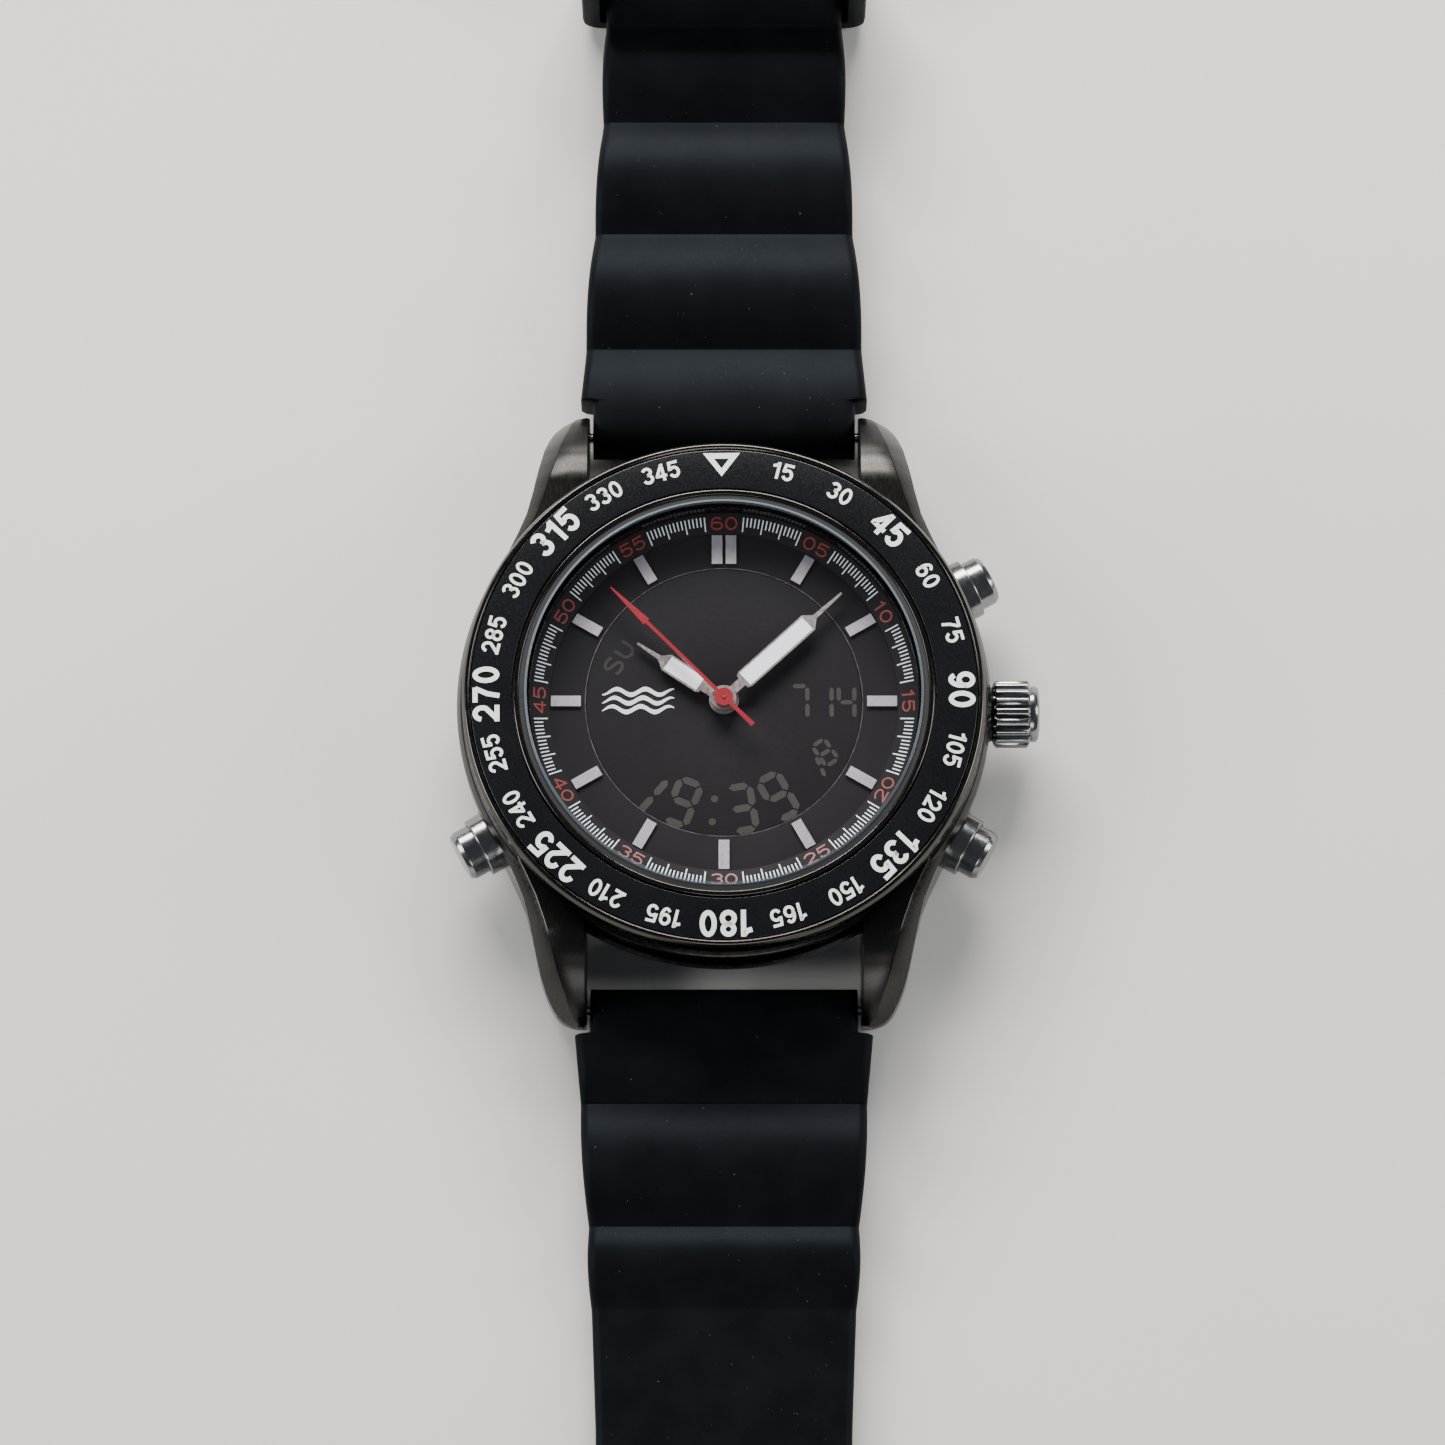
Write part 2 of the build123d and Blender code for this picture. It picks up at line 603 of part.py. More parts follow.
def make_hole_strap():
    """Long strap at 6 o'clock, ribbed near the case, with the buckle holes."""
    def valley(y):
        return 3.3 if y < RIBS_END_6 else STRAP_T

    def crest(y):
        return 4.7 - 0.02 * (y - 30.0)

    tip = -TAIL_END_Y
    ribs = wave_top(SHOULDER_Y + 0.2, CREASES_6, RIBS_END_6, valley, crest)
    edges = ribs + [
        Line((RIBS_END_6, STRAP_T), (tip, STRAP_T)),
        Line((tip, STRAP_T), (tip, 0)),
        Line((tip, 0), (29.5, 0)),
        Line((29.5, 0), (BAR_Y, BAR_Z - LOOP_R)),
        Line((BAR_Y, BAR_Z - LOOP_R), (BAR_Y, BAR_Z + LOOP_R)),
        Line((BAR_Y, BAR_Z + LOOP_R), (SHOULDER_Y + 0.2, 3.3)),
    ]
    body = extrude(side_profile(edges), 13, dir=(1, 0, 0), both=True)
    half = STRAP_TAIL_W / 2
    stations = [(20.0, 10.7), (SHOULDER_Y, 10.7), (SHOULDER_Y, 12.05), (28.0, 12.05), (33.0, 11.45),
                (43.0, 10.7), (58.0, 10.2), (75.0, half), (tip - 9.0, half), (tip - 3.0, 0.72 * half),
                (tip, 0.3 * half)]
    body = body & plate(tapered_plan(stations), -2, 9)
    body = body + strap_loop(BAR_Y, BAR_Z, LOOP_R, 10.7)
    body = body - across(BAR_Y, BAR_Z, BAR_R + 0.1, 30)
    for index in range(HOLE_COUNT):
        body = body - disc(HOLE_R, -2, 8, 0, HOLE_FIRST_Y + HOLE_PITCH * index)
    return Rot(0, 0, 180) * body


HOLE_COUNT = 9
HOLE_R = 1.25
HOLE_FIRST_Y = 80.0
HOLE_PITCH = 6.5


def across(y, z, radius, length):
    """Cylinder along X, centred on the strap's middle."""
    return Pos(0, y, z) * Rot(0, 90, 0) * Cylinder(radius, length)


def strap_loop(y, z, radius, half):
    """Rounded end that wraps a spring bar."""
    return across(y, z, radius, 2 * half)


def make_keeper():
    """Free rubber loop round the strap."""
    half = STRAP_TAIL_W / 2 + 0.25
    inner_top = STRAP_LIFT + 2 * STRAP_T + 0.5
    outer = block(-half - KEEPER_WALL, half + KEEPER_WALL, 61.0, 67.0, 0, inner_top + KEEPER_WALL)
    outer = fillet(outer.edges().filter_by(Axis.Y), 1.2)
    return outer - block(-half, half, 60, 68, KEEPER_WALL, inner_top)


# ---------------------------------------------------------------- buckle
BUCKLE_Z = STRAP_LIFT + STRAP_T / 2
BUCKLE_DROOP = 8.8
FRAME_HALF_W = 12.6
FRAME_ARM_W = 2.0
FRAME_END_Y = BUCKLE_Y + 13.0


def droop(shape):
    """Tilt about the buckle bar, so that the far end rests on the table."""
    to_bar = Pos(0, BUCKLE_Y, BUCKLE_Z)
    back = Pos(0, -BUCKLE_Y, -BUCKLE_Z)
    return to_bar * Rot(-BUCKLE_DROOP, 0, 0) * back * shape


def make_buckle_frame():
    """Rounded frame with two ears for the buckle bar and a rest for the tongue."""
    low = BUCKLE_Z - 1.25
    high = BUCKLE_Z + 1.25
    outer = block(-FRAME_HALF_W, FRAME_HALF_W, BUCKLE_Y - 1.6, FRAME_END_Y, low, high)
    outer = fillet(outer.edges().filter_by(Axis.Z), 1.5)
    inner_half = FRAME_HALF_W - FRAME_ARM_W
    frame = outer - block(-inner_half, inner_half, BUCKLE_Y - 9, FRAME_END_Y - 2.6, -2, 9)
    frame = frame - block(-1.1, 1.1, FRAME_END_Y - 3, FRAME_END_Y - 1.0, high - 0.55, high + 1)
    frame = frame - across(BUCKLE_Y, BUCKLE_Z, PIN_R + 0.05, 2 * (FRAME_HALF_W - 0.7))
    return droop(frame)


def make_tongue():
    """Tongue rolled round the buckle bar, its tip over the frame's rest."""
    roll = across(BUCKLE_Y, BUCKLE_Z, 1.35, 3.6)
    top = BUCKLE_Z + 1.25
    blade = block(-0.95, 0.95, BUCKLE_Y + 0.6, FRAME_END_Y - 1.2, top - 0.5, top + 0.35)
    blade = blade + block(-0.95, 0.95, BUCKLE_Y + 0.4, BUCKLE_Y + 1.2, BUCKLE_Z - 0.4, top)
    return droop(roll + blade - across(BUCKLE_Y, BUCKLE_Z, BAR_R + 0.06, 8))


def make_bar_tubes():
    """Sleeves of the two case spring bars."""
    bars = []
    for side in (-1, 1):
        sleeve = across(side * BAR_Y, BAR_Z, BAR_R, 21.4)
        sleeve = sleeve - across(side * BAR_Y, BAR_Z, PIN_R + 0.02, 30)
        bars.append(solid(sleeve))
    return Compound(children=bars)


def make_bar_pins():
    """Four sprung pins that stand in the lug holes."""
    pins = []
    for side in (-1, 1):
        for end in (-1, 1):
            pin = Pos(end * 9.75, side * BAR_Y, BAR_Z) * Rot(0, 90, 0) * Cylinder(PIN_R, 4.5)
            pins.append(pin)
    return Compound(children=pins)


def make_buckle_bar():
    """One-piece bar with turned-down ends."""
    return across(BUCKLE_Y, BUCKLE_Z, BAR_R, 20.9) + across(BUCKLE_Y, BUCKLE_Z, PIN_R, 23.4)


# ---------------------------------------------------------------- export
def main():
    os.makedirs(OUT, exist_ok=True)
    hour_hand, hour_lume = hand_pair(HOUR_ANGLE, HOUR_Z, 1.2, 0.72, 0.42, (2.0, 5.9), 1.5, 8.4, 0.15)
    minute_hand, minute_lume = hand_pair(MINUTE_ANGLE, MINUTE_Z, 1.0, 0.40, 0.38, (2.0, 9.6), 1.6, 12.9, 0.15)
    nodes = {
        "case_middle": make_case(),
        "case_back": make_case_back(),
        "case_back_gasket": ring(16.6, 16.08, 1.33, 1.57),
        "crystal": make_crystal(),
        "crystal_gasket": ring(16.4, 16.02, CRYSTAL_SEAT_Z, 11.75),
        "bezel_ring": make_bezel(),
        "bezel_insert": make_insert(),
        "bezel_wire": ring(17.12, 16.65, 10.05, 10.35),
        "bezel_spring": make_bezel_spring(),
        "chapter_ring": make_chapter_ring(),
        "dial": ring(DIAL_R, LCD_WINDOW_R, DIAL_BACK_Z, DIAL_TOP_Z),
        "dial_indices": make_indices(),
        "lcd_cell": ring(12.4, 0.95, LCD_BACK_Z, DIAL_BACK_Z),
        "lcd_connectors": Compound(children=[
            block(-5.0, 5.0, side * 10.8 - 0.4, side * 10.8 + 0.4, 3.3, LCD_BACK_Z) for side in (-1, 1)
        ]),
        "main_plate": make_main_plate(),
        "train_bridge": make_train_bridge(),
        "movement_ring": make_movement_ring(),
        "circuit_board": make_circuit_board(),
        "battery": disc(BATTERY_R, 2.05, 4.7, BATTERY_X, BATTERY_Y),
        "battery_clip": make_battery_clip(),
        "quartz_crystal": Pos(9.2, 1.6, 2.15) * Rot(90, 0, 0) * Cylinder(0.75, 5.6),
        "motor_stator": make_stator(),
        "motor_coil": make_coil(),
        "motor_rotor": make_rotor(),
        "intermediate_wheel": make_intermediate_wheel(),
        "seconds_wheel": make_seconds_wheel(),
        "third_wheel": make_third_wheel(),
        "centre_wheel": make_centre_wheel(),
        "minute_wheel": make_minute_wheel(),
        "hour_wheel": make_hour_wheel(),
        "movement_screws": make_screws(),
        "crown": make_crown(),
        "crown_stem": make_stem(),
        "crown_tube": make_crown_tube(),
        "crown_gasket": pipe(1.93, 1.5, 22.5, 22.95),
        "setting_lever": make_setting_lever(),
        "pusher_collars": make_collars(),
        "hour_hand": hour_hand,
        "hour_hand_lume": hour_lume,
        "minute_hand": minute_hand,
        "minute_hand_lume": minute_lume,
        "second_hand": make_second_hand(),
        "spring_bar_tubes": make_bar_tubes(),
        "spring_bar_pins": make_bar_pins(),
        "strap_buckle_side": make_buckle_strap(),
        "strap_hole_side": make_hole_strap(),
        "keeper_loop": make_keeper(),
        "buckle_frame": make_buckle_frame(),
        "buckle_tongue": make_tongue(),
        "buckle_bar": make_buckle_bar(),
    }
    for name, angle in zip(PUSHER_NAMES, PUSHER_ANGLES):
        turn = Rot(0, 0, angle)
        nodes[name] = turn * make_pusher()
        nodes[name + "_spring"] = turn * make_pusher_spring()
        nodes[name + "_clip"] = turn * make_pusher_clip()
    for name, shape in nodes.items():
        export(name, shape)
        print(name, len(shape.solids()), round(shape.volume, 3))


main()
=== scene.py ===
import json
from math import atan2, cos, degrees, hypot, pi, radians, sin, sqrt, tan

import bpy
from mathutils import Matrix, Vector


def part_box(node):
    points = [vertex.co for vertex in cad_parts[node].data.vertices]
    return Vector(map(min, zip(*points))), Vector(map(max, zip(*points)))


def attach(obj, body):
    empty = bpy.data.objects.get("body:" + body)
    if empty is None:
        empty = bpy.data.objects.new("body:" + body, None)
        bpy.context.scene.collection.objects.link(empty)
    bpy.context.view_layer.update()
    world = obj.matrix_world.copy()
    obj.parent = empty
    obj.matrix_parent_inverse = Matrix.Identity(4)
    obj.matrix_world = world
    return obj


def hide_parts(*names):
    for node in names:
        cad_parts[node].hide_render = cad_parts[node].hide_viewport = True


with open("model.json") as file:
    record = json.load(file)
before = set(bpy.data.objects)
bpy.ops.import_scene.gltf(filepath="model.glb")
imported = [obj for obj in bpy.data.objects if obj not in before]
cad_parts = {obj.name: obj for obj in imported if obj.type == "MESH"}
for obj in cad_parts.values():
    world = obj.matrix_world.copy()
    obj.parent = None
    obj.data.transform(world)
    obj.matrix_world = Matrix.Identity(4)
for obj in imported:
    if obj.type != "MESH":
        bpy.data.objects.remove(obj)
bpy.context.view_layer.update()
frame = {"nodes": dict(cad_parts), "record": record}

MM = 0.001
JOINTS = {joint["name"]: joint for joint in frame["record"]["behaviour"]["joints"]}


# ------ sizes read from the frame
def low(node):
    """Lowest corner of a CAD node, in millimetres."""
    return [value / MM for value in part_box(node)[0]]


def high(node):
    """Highest corner of a CAD node, in millimetres."""
    return [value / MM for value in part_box(node)[1]]


def pivot(joint):
    """Joint position, in millimetres."""
    return [value / MM for value in JOINTS[joint]["pos_m"]]


def smooth(value):
    """Smooth step from 0 to 1."""
    t = min(1.0, max(0.0, value))
    return t * t * (3 - 2 * t)


def between(value, stations):
    """Linear value from sorted (position, value) stations."""
    if value <= stations[0][0]:
        return stations[0][1]
    for (a, va), (b, vb) in zip(stations[:-1], stations[1:]):
        if value <= b:
            return va + (vb - va) * (value - a) / (b - a)
    return stations[-1][1]


BEZEL_TOP = high("bezel_ring")[2]
BEZEL_BOTTOM = low("bezel_ring")[2]
INSERT_R = high("bezel_insert")[0] + 0.22
INSERT_TOP = high("bezel_insert")[2]
INSERT_IN = 16.95
INSERT_DROP = 0.22
CRYSTAL_R = high("crystal")[0]
CRYSTAL_TOP = high("crystal")[2]
CRYSTAL_BASE = low("crystal")[2]
DIAL_TOP = high("dial")[2]
DIAL_R = high("dial")[0]
LCD_TOP = high("lcd_cell")[2]
RING_TOP = high("chapter_ring")[2]
WINDOW_R = 11.1
STEM_Z = pivot("crown_turn")[2]
BAR_Y = pivot("strap_12_swing")[1]
BAR_Z = pivot("strap_12_swing")[2]
BUCKLE_Y = pivot("buckle_swing")[1]
BUCKLE_Z = pivot("buckle_swing")[2]
TAIL_Y = -low("strap_hole_side")[1]
SKIN = 0.02  # how far a visual surface lies inside the CAD surface it stands for
PRINT = 0.012  # how far a print stands above its ground
CASE_R = 21.5
CASE_TOP = 9.1
NECK_R = 16.85
NECK_TOP = 11.9


# ------ materials
class Shader:
    """Small builder for procedural node materials in object coordinates, in millimetres."""

    def __init__(self, name):
        self.material = bpy.data.materials.new(name)
        self.material.use_nodes = True
        self.tree = self.material.node_tree
        self.tree.nodes.clear()
        self.output = self.add("ShaderNodeOutputMaterial")
        self.bsdf = self.add("ShaderNodeBsdfPrincipled")
        self.link(self.bsdf.outputs[0], self.output.inputs["Surface"])
        coords = self.add("ShaderNodeTexCoord")
        self.coords = self.scaled(coords.outputs["Object"], (1000, 1000, 1000))

    def add(self, kind, **values):
        node = self.tree.nodes.new(kind)
        for key, value in values.items():
            setattr(node, key, value)
        return node

    def link(self, source, target):
        self.tree.links.new(source, target)

    def scaled(self, vector, scale):
        node = self.add("ShaderNodeMapping")
        node.inputs["Scale"].default_value = scale
        self.link(vector, node.inputs["Vector"])
        return node.outputs["Vector"]

    def noise(self, size, detail, stretch=(1, 1, 1)):
        """Noise whose grains are about size millimetres, stretched per axis."""
        scale = tuple(1 / (size * value) for value in stretch)
        node = self.add("ShaderNodeTexNoise")
        node.inputs["Scale"].default_value = 1.0
        node.inputs["Detail"].default_value = detail
        self.link(self.scaled(self.coords, scale), node.inputs["Vector"])
        return node.outputs["Fac"]

    def rings(self):
        """Fine rings about Z, as circular brushing leaves."""
        pitch = 0.12
        node = self.add("ShaderNodeTexWave", wave_type="RINGS", rings_direction="Z")
        node.inputs["Scale"].default_value = 0.31 / pitch
        node.inputs["Distortion"].default_value = 6.0
        node.inputs["Detail"].default_value = 4.0
        node.inputs["Detail Scale"].default_value = 3.0
        self.link(self.coords, node.inputs["Vector"])
        return node.outputs["Fac"]

    def ramp(self, factor, low_value, high_value, start=0.3, end=0.7):
        node = self.add("ShaderNodeMapRange")
        node.inputs["From Min"].default_value = start
        node.inputs["From Max"].default_value = end
        node.inputs["To Min"].default_value = low_value
        node.inputs["To Max"].default_value = high_value
        self.link(factor, node.inputs["Value"])
        return node.outputs["Result"]

    def colour(self, factor, first, second):
        node = self.add("ShaderNodeMix", data_type="RGBA")
        node.inputs["A"].default_value = (*first, 1)
        node.inputs["B"].default_value = (*second, 1)
        self.link(self.ramp(factor, 0, 1), node.inputs["Factor"])
        return node.outputs["Result"]

    def bump(self, factor, height_mm, strength=1.0, onto=None):
        node = self.add("ShaderNodeBump")
        node.inputs["Distance"].default_value = height_mm * MM
        node.inputs["Strength"].default_value = strength
        self.link(factor, node.inputs["Height"])
        if onto is not None:
            self.link(onto, node.inputs["Normal"])
        return node.outputs["Normal"]

    def mixed(self, first, second):
        node = self.add("ShaderNodeMixShader")
        self.link(first.outputs[0], node.inputs[1])
        self.link(second.outputs[0], node.inputs[2])
        return node

    def set(self, **values):
        """Sets Principled inputs; a socket links, anything else is a constant."""
        for key, value in values.items():
            socket = self.bsdf.inputs[key.replace("_", " ")]
            if isinstance(value, bpy.types.NodeSocket):
                self.link(value, socket)
            else:
                socket.default_value = value
        return self.material


def metal(name, dark, light, rough, size, height, spread=0.08, stretch=(1, 1, 1)):
    """Metal with a directional or even grain, soft tone changes and worn roughness."""
    shader = Shader(name)
    grain = shader.noise(size, 2, stretch)
    cloud = shader.noise(6.0, 3)
    return shader.set(
        Base_Color=shader.colour(cloud, dark, light),
        Metallic=1.0,
        Roughness=shader.ramp(grain, rough - spread, rough + spread),
        Normal=shader.bump(grain, height),
    )


def turned_metal(name, dark, light, rough):
    """Metal brushed in circles about the watch's axis."""
    shader = Shader(name)
    lines = shader.rings()
    cloud = shader.noise(5.0, 3)
    return shader.set(
        Base_Color=shader.colour(cloud, dark, light),
        Metallic=1.0,
        Roughness=shader.ramp(lines, rough - 0.07, rough + 0.07, 0, 1),
        Normal=shader.bump(lines, 0.003),
    )


def paint(name, dark, light, rough, size, height, coat=0.0, shine=0.5):
    """Paint, print or moulded plastic with a fine tooth."""
    shader = Shader(name)
    tooth = shader.noise(size, 3)
    cloud = shader.noise(4.0, 2)
    return shader.set(
        Base_Color=shader.colour(cloud, dark, light),
        Roughness=shader.ramp(tooth, rough - 0.06, rough + 0.06),
        Normal=shader.bump(tooth, height),
        Coat_Weight=coat,
        Coat_Roughness=0.04,
        Specular_IOR_Level=shine,
    )


def rubber(name, dark, light, rough):
    """Moulded rubber: fine grain, slow tone changes and a little dust."""
    shader = Shader(name)
    grain = shader.noise(0.09, 3)
    wave = shader.noise(3.5, 3)
    dust = shader.noise(0.28, 1)
    flecks = shader.ramp(dust, 0, 1, 0.785, 0.8)
    mixed = shader.add("ShaderNodeMix", data_type="RGBA")
    shader.link(flecks, mixed.inputs["Factor"])
    shader.link(shader.colour(wave, dark, light), mixed.inputs["A"])
    mixed.inputs["B"].default_value = (0.05, 0.05, 0.05, 1)
    shape = shader.bump(wave, 0.02, 0.6)
    return shader.set(
        Base_Color=mixed.outputs["Result"],
        Roughness=shader.ramp(grain, rough - 0.07, rough + 0.07),
        Normal=shader.bump(grain, 0.006, 1.0, shape),
        Specular_IOR_Level=0.048,
        Specular_Tint=(0.62, 0.8, 1.0, 1),
    )


def clear_glass(name, tint, edge=0.0):
    """Thin clear glass: the light passes straight and a little is reflected. Edge is the share of a tinted
    opaque surface mixed in, a painted reflection.
    """
    shader = Shader(name)
    smear = shader.noise(9.0, 3)
    shader.set(
        Base_Color=(*tint, 1),
        Roughness=shader.ramp(smear, 0.0, 0.03),
        IOR=1.5,
    )
    clear = shader.add("ShaderNodeBsdfTransparent")
    clear.inputs["Color"].default_value = (0.985, 0.99, 1.0, 1)
    gloss = shader.add("ShaderNodeBsdfGlossy")
    gloss.inputs["Color"].default_value = (1, 1, 1, 1)
    gloss.inputs["Roughness"].default_value = 0.02
    facing = shader.add("ShaderNodeLayerWeight")
    facing.inputs["Blend"].default_value = 0.5
    steep = shader.add("ShaderNodeMath", operation="POWER")
    shader.link(facing.outputs["Facing"], steep.inputs[0])
    steep.inputs[1].default_value = 5.0
    share = shader.add("ShaderNodeMath", operation="MULTIPLY_ADD")
    shader.link(steep.outputs[0], share.inputs[0])
    share.inputs[1].default_value = 0.5
    share.inputs[2].default_value = 0.012
    sheet = shader.mixed(clear, gloss)
    shader.link(share.outputs[0], sheet.inputs[0])
    # The tinted opaque surface mixed in by the edge share is a painted reflection.
    final = shader.mixed(sheet, shader.bsdf)
    final.inputs[0].default_value = edge
    shader.link(final.outputs[0], shader.output.inputs["Surface"])
    return shader.material


def display_glass(name):
    """Dark display glass with a faint weave of electrodes."""
    shader = Shader(name)
    cloud = shader.noise(5.0, 2)
    grid = shader.noise(0.2, 2)
    return shader.set(
        Base_Color=shader.colour(cloud, (0.0095, 0.0078, 0.0088), (0.0115, 0.0095, 0.0107)),
        Roughness=shader.ramp(grid, 0.4, 0.46),
        Specular_IOR_Level=0.25,
    )


M = {
    "brushed": metal(
        "gunmetal_brushed", (0.026, 0.025, 0.0235), (0.041, 0.039, 0.037), 0.34, 0.05, 0.005,
        stretch=(1, 14, 1),
    ),
    # Flank metal for the case's sides, inner faces and undersides: a smoother finish than the tops, and a
    # colour darkened as painted shade for faces turned away from the lights.
    "flank": metal(
        "gunmetal_flank_painted_shade", (0.016, 0.0155, 0.015), (0.026, 0.025, 0.024), 0.26, 0.06, 0.002, stretch=(8, 8, 1),
    ),
    "polished": metal("gunmetal_polished", (0.22, 0.22, 0.225), (0.29, 0.29, 0.295), 0.21, 0.4, 0.0002, 0.04),
    "bevel": metal("gunmetal_bevel", (0.03, 0.0285, 0.0265), (0.046, 0.044, 0.041), 0.26, 0.3, 0.0004, 0.05),
    "buckle": metal(
        "buckle_steel", (0.22, 0.215, 0.21), (0.3, 0.295, 0.285), 0.28, 0.05, 0.004, stretch=(1, 12, 1),
    ),
    "rim": metal("bezel_rim", (0.055, 0.051, 0.046), (0.08, 0.074, 0.067), 0.17, 0.5, 0.0002, 0.04),
    # Side metal of the bezel: the same metal as the rim, darkened as painted shade on the faces below the top
    # rim.
    "bezel_side_painted_shade": metal("bezel_side_painted_shade", (0.01, 0.01, 0.0105), (0.017, 0.017, 0.0175), 0.22, 0.3, 0.0004),
    "lip": metal("inner_lip", (0.06, 0.057, 0.054), (0.085, 0.081, 0.077), 0.18, 0.4, 0.0002, 0.04),
    "back": turned_metal("case_back_steel", (0.2, 0.2, 0.205), (0.28, 0.28, 0.285), 0.3),
    "insert": paint(
        "insert_black", (0.0022, 0.0026, 0.0036), (0.0036, 0.0042, 0.0058), 0.24, 0.15, 0.00015, 0.15,
    ),
    "dial": paint(
        "dial_charcoal", (0.0098, 0.008, 0.009), (0.0122, 0.01, 0.0112), 0.5, 0.12, 0.0004, 0, 0.2,
    ),
    "minute_ring": paint(
        "ring_charcoal", (0.013, 0.0115, 0.012), (0.016, 0.014, 0.0148), 0.6, 0.12, 0.0004, 0, 0.1,
    ),
    "window_line": metal("window_line", (0.15, 0.14, 0.14), (0.19, 0.18, 0.18), 0.4, 0.4, 0.0004),
    "lcd": display_glass("display_glass"),
    "segment": paint("display_segments", (0.042, 0.0405, 0.034), (0.051, 0.049, 0.041), 0.35, 0.2, 0.0004),
    "segment_faint": paint("display_faint", (0.03, 0.029, 0.026), (0.036, 0.035, 0.031), 0.35, 0.2, 0.0004),
    "white": paint("print_white", (0.78, 0.78, 0.76), (0.88, 0.88, 0.86), 0.45, 0.08, 0.0006),
    "tick": paint("print_tick", (0.8, 0.86, 0.92), (0.88, 0.93, 0.98), 0.45, 0.08, 0.0006),
    "red_print": paint("print_red", (0.2, 0.02, 0.015), (0.24, 0.027, 0.019), 0.45, 0.08, 0.0006),
    "bars": metal(
        "index_silver", (0.56, 0.52, 0.54), (0.64, 0.6, 0.62), 0.5, 0.05, 0.0015, stretch=(1, 6, 1),
    ),
    "hand": metal(
        "hand_silver", (0.46, 0.39, 0.36), (0.54, 0.46, 0.43), 0.42, 0.05, 0.0012, stretch=(6, 6, 1),
    ),
    "lume": paint("lume_white", (0.93, 0.94, 0.95), (0.97, 0.97, 0.98), 0.55, 0.06, 0.0015),
    "second": paint("second_red", (0.25, 0.013, 0.022), (0.3, 0.018, 0.03), 0.35, 0.1, 0.0004, 0.3),
    "steel": metal("plain_steel", (0.38, 0.38, 0.39), (0.5, 0.5, 0.51), 0.3, 0.2, 0.0006),
    "brass": metal("plain_brass", (0.62, 0.46, 0.2), (0.74, 0.56, 0.27), 0.3, 0.15, 0.0006),
    "copper": metal(
        "coil_copper", (0.6, 0.24, 0.1), (0.72, 0.32, 0.15), 0.35, 0.5, 0.01, stretch=(1, 0.1, 1),
    ),
    "board": paint("board_green", (0.01, 0.09, 0.04), (0.02, 0.13, 0.06), 0.35, 0.2, 0.001),
    "plastic": paint("moulded_white", (0.62, 0.61, 0.58), (0.7, 0.69, 0.66), 0.5, 0.2, 0.002),
    "seal": paint("seal_black", (0.008, 0.008, 0.009), (0.014, 0.014, 0.015), 0.55, 0.2, 0.003),
    "rubber": rubber("strap_rubber", (0.003, 0.0033, 0.004), (0.005, 0.0055, 0.0066), 0.48),
    "glass": clear_glass("crystal_clear", (0.9, 0.95, 1.0)),
    # Crystal bevel: the bluish-grey tint mixed in at 0.55 is a painted reflection.
    "glass_painted_reflection": clear_glass("crystal_bevel_painted_reflection", (0.2, 0.24, 0.28), 0.55),
}


# ------ mesh helpers
def linked(name, data):
    """New object in the scene."""
    thing = bpy.data.objects.new(name, data)
    bpy.context.scene.collection.objects.link(thing)
    return thing


class Shape:
    """Vertices and faces in millimetres, gathered from several pieces of geometry."""

    def __init__(self, verts=(), faces=(), index=0):
        self.verts = []
        self.faces = []
        self.indices = []
        self.add(verts, faces, index)

    def add(self, verts, faces, index=0):
        base = len(self.verts)
        self.verts += [tuple(v) for v in verts]
        self.faces += [tuple(base + i for i in face) for face in faces]
        self.indices += index if isinstance(index, list) else [index] * len(faces)

    def build(self, name, body, materials, angle):
        """Mesh object, smooth up to an angle, riding on a body."""
        mesh = bpy.data.meshes.new(name)
        mesh.from_pydata([Vector(v) * MM for v in self.verts], [], self.faces)
        for key in materials:
            mesh.materials.append(M[key])
        mesh.polygons.foreach_set("material_index", self.indices)
        mesh.validate()
        mesh.update()
        mesh.shade_smooth()
        mesh.set_sharp_from_angle(angle=radians(angle))
        piece = linked(name, mesh)
        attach(piece, body)
        return piece


def rounded(corners, steps=5):
    """Closed 2-D outline with rounded corners, from (u, v, radius) points."""
    outline = []
    count = len(corners)
    for i, (u, v, radius) in enumerate(corners):
        here = Vector((u, v))
        before = Vector(corners[i - 1][:2]) - here
        after = Vector(corners[(i + 1) % count][:2]) - here
        reach = min(before.length, after.length) / 2
        turn = before.angle(after)
        if radius <= 0 or turn > pi - 0.02:
            outline.append((u, v))
            continue
        cut = min(radius / tan(turn / 2), reach * 0.98)
        start = here + before.normalized() * cut
        end = here + after.normalized() * cut
        for k in range(steps + 1):
            t = k / steps
            point = start * (1 - t) ** 2 + here * (2 * t * (1 - t)) + end * t ** 2
            outline.append((point.x, point.y))
    return outline


def spin(outline, segments, matrix=Matrix.Identity(4)):
    """Closed outline of (radius, height) turned about Z, as verts and faces."""
    turns = [2 * pi * s / segments for s in range(segments)]
    sections = [[matrix @ Vector((r * cos(a), r * sin(a), z)) for r, z in outline] for a in turns]
    verts, faces = loft(sections, ring=True)
    return verts, [(a, d, c, b) for a, b, c, d in faces]


def loft(sections, ring=False):
    """Skin over equal sections with both ends closed, or joined up in a ring."""
    count = len(sections[0])
    total = len(sections)
    verts = [point for section in sections for point in section]
    faces = []
    for s in range(total if ring else total - 1):
        n = (s + 1) % total
        for i in range(count):
            j = (i + 1) % count
            faces.append((s * count + i, s * count + j, n * count + j, n * count + i))
    if not ring:
        faces.append(tuple(reversed(range(count))))
        faces.append(tuple(range((total - 1) * count, total * count)))
    return verts, faces


def to_x(angle=0.0):
    """Matrix that lays a turned piece's axis along the radius at an angle, at stem height."""
    turn = Matrix.Rotation(radians(angle), 4, "Z")
    lay = Matrix.Rotation(radians(90), 4, "Y")
    return Matrix.Translation((0, 0, STEM_Z)) @ turn @ lay


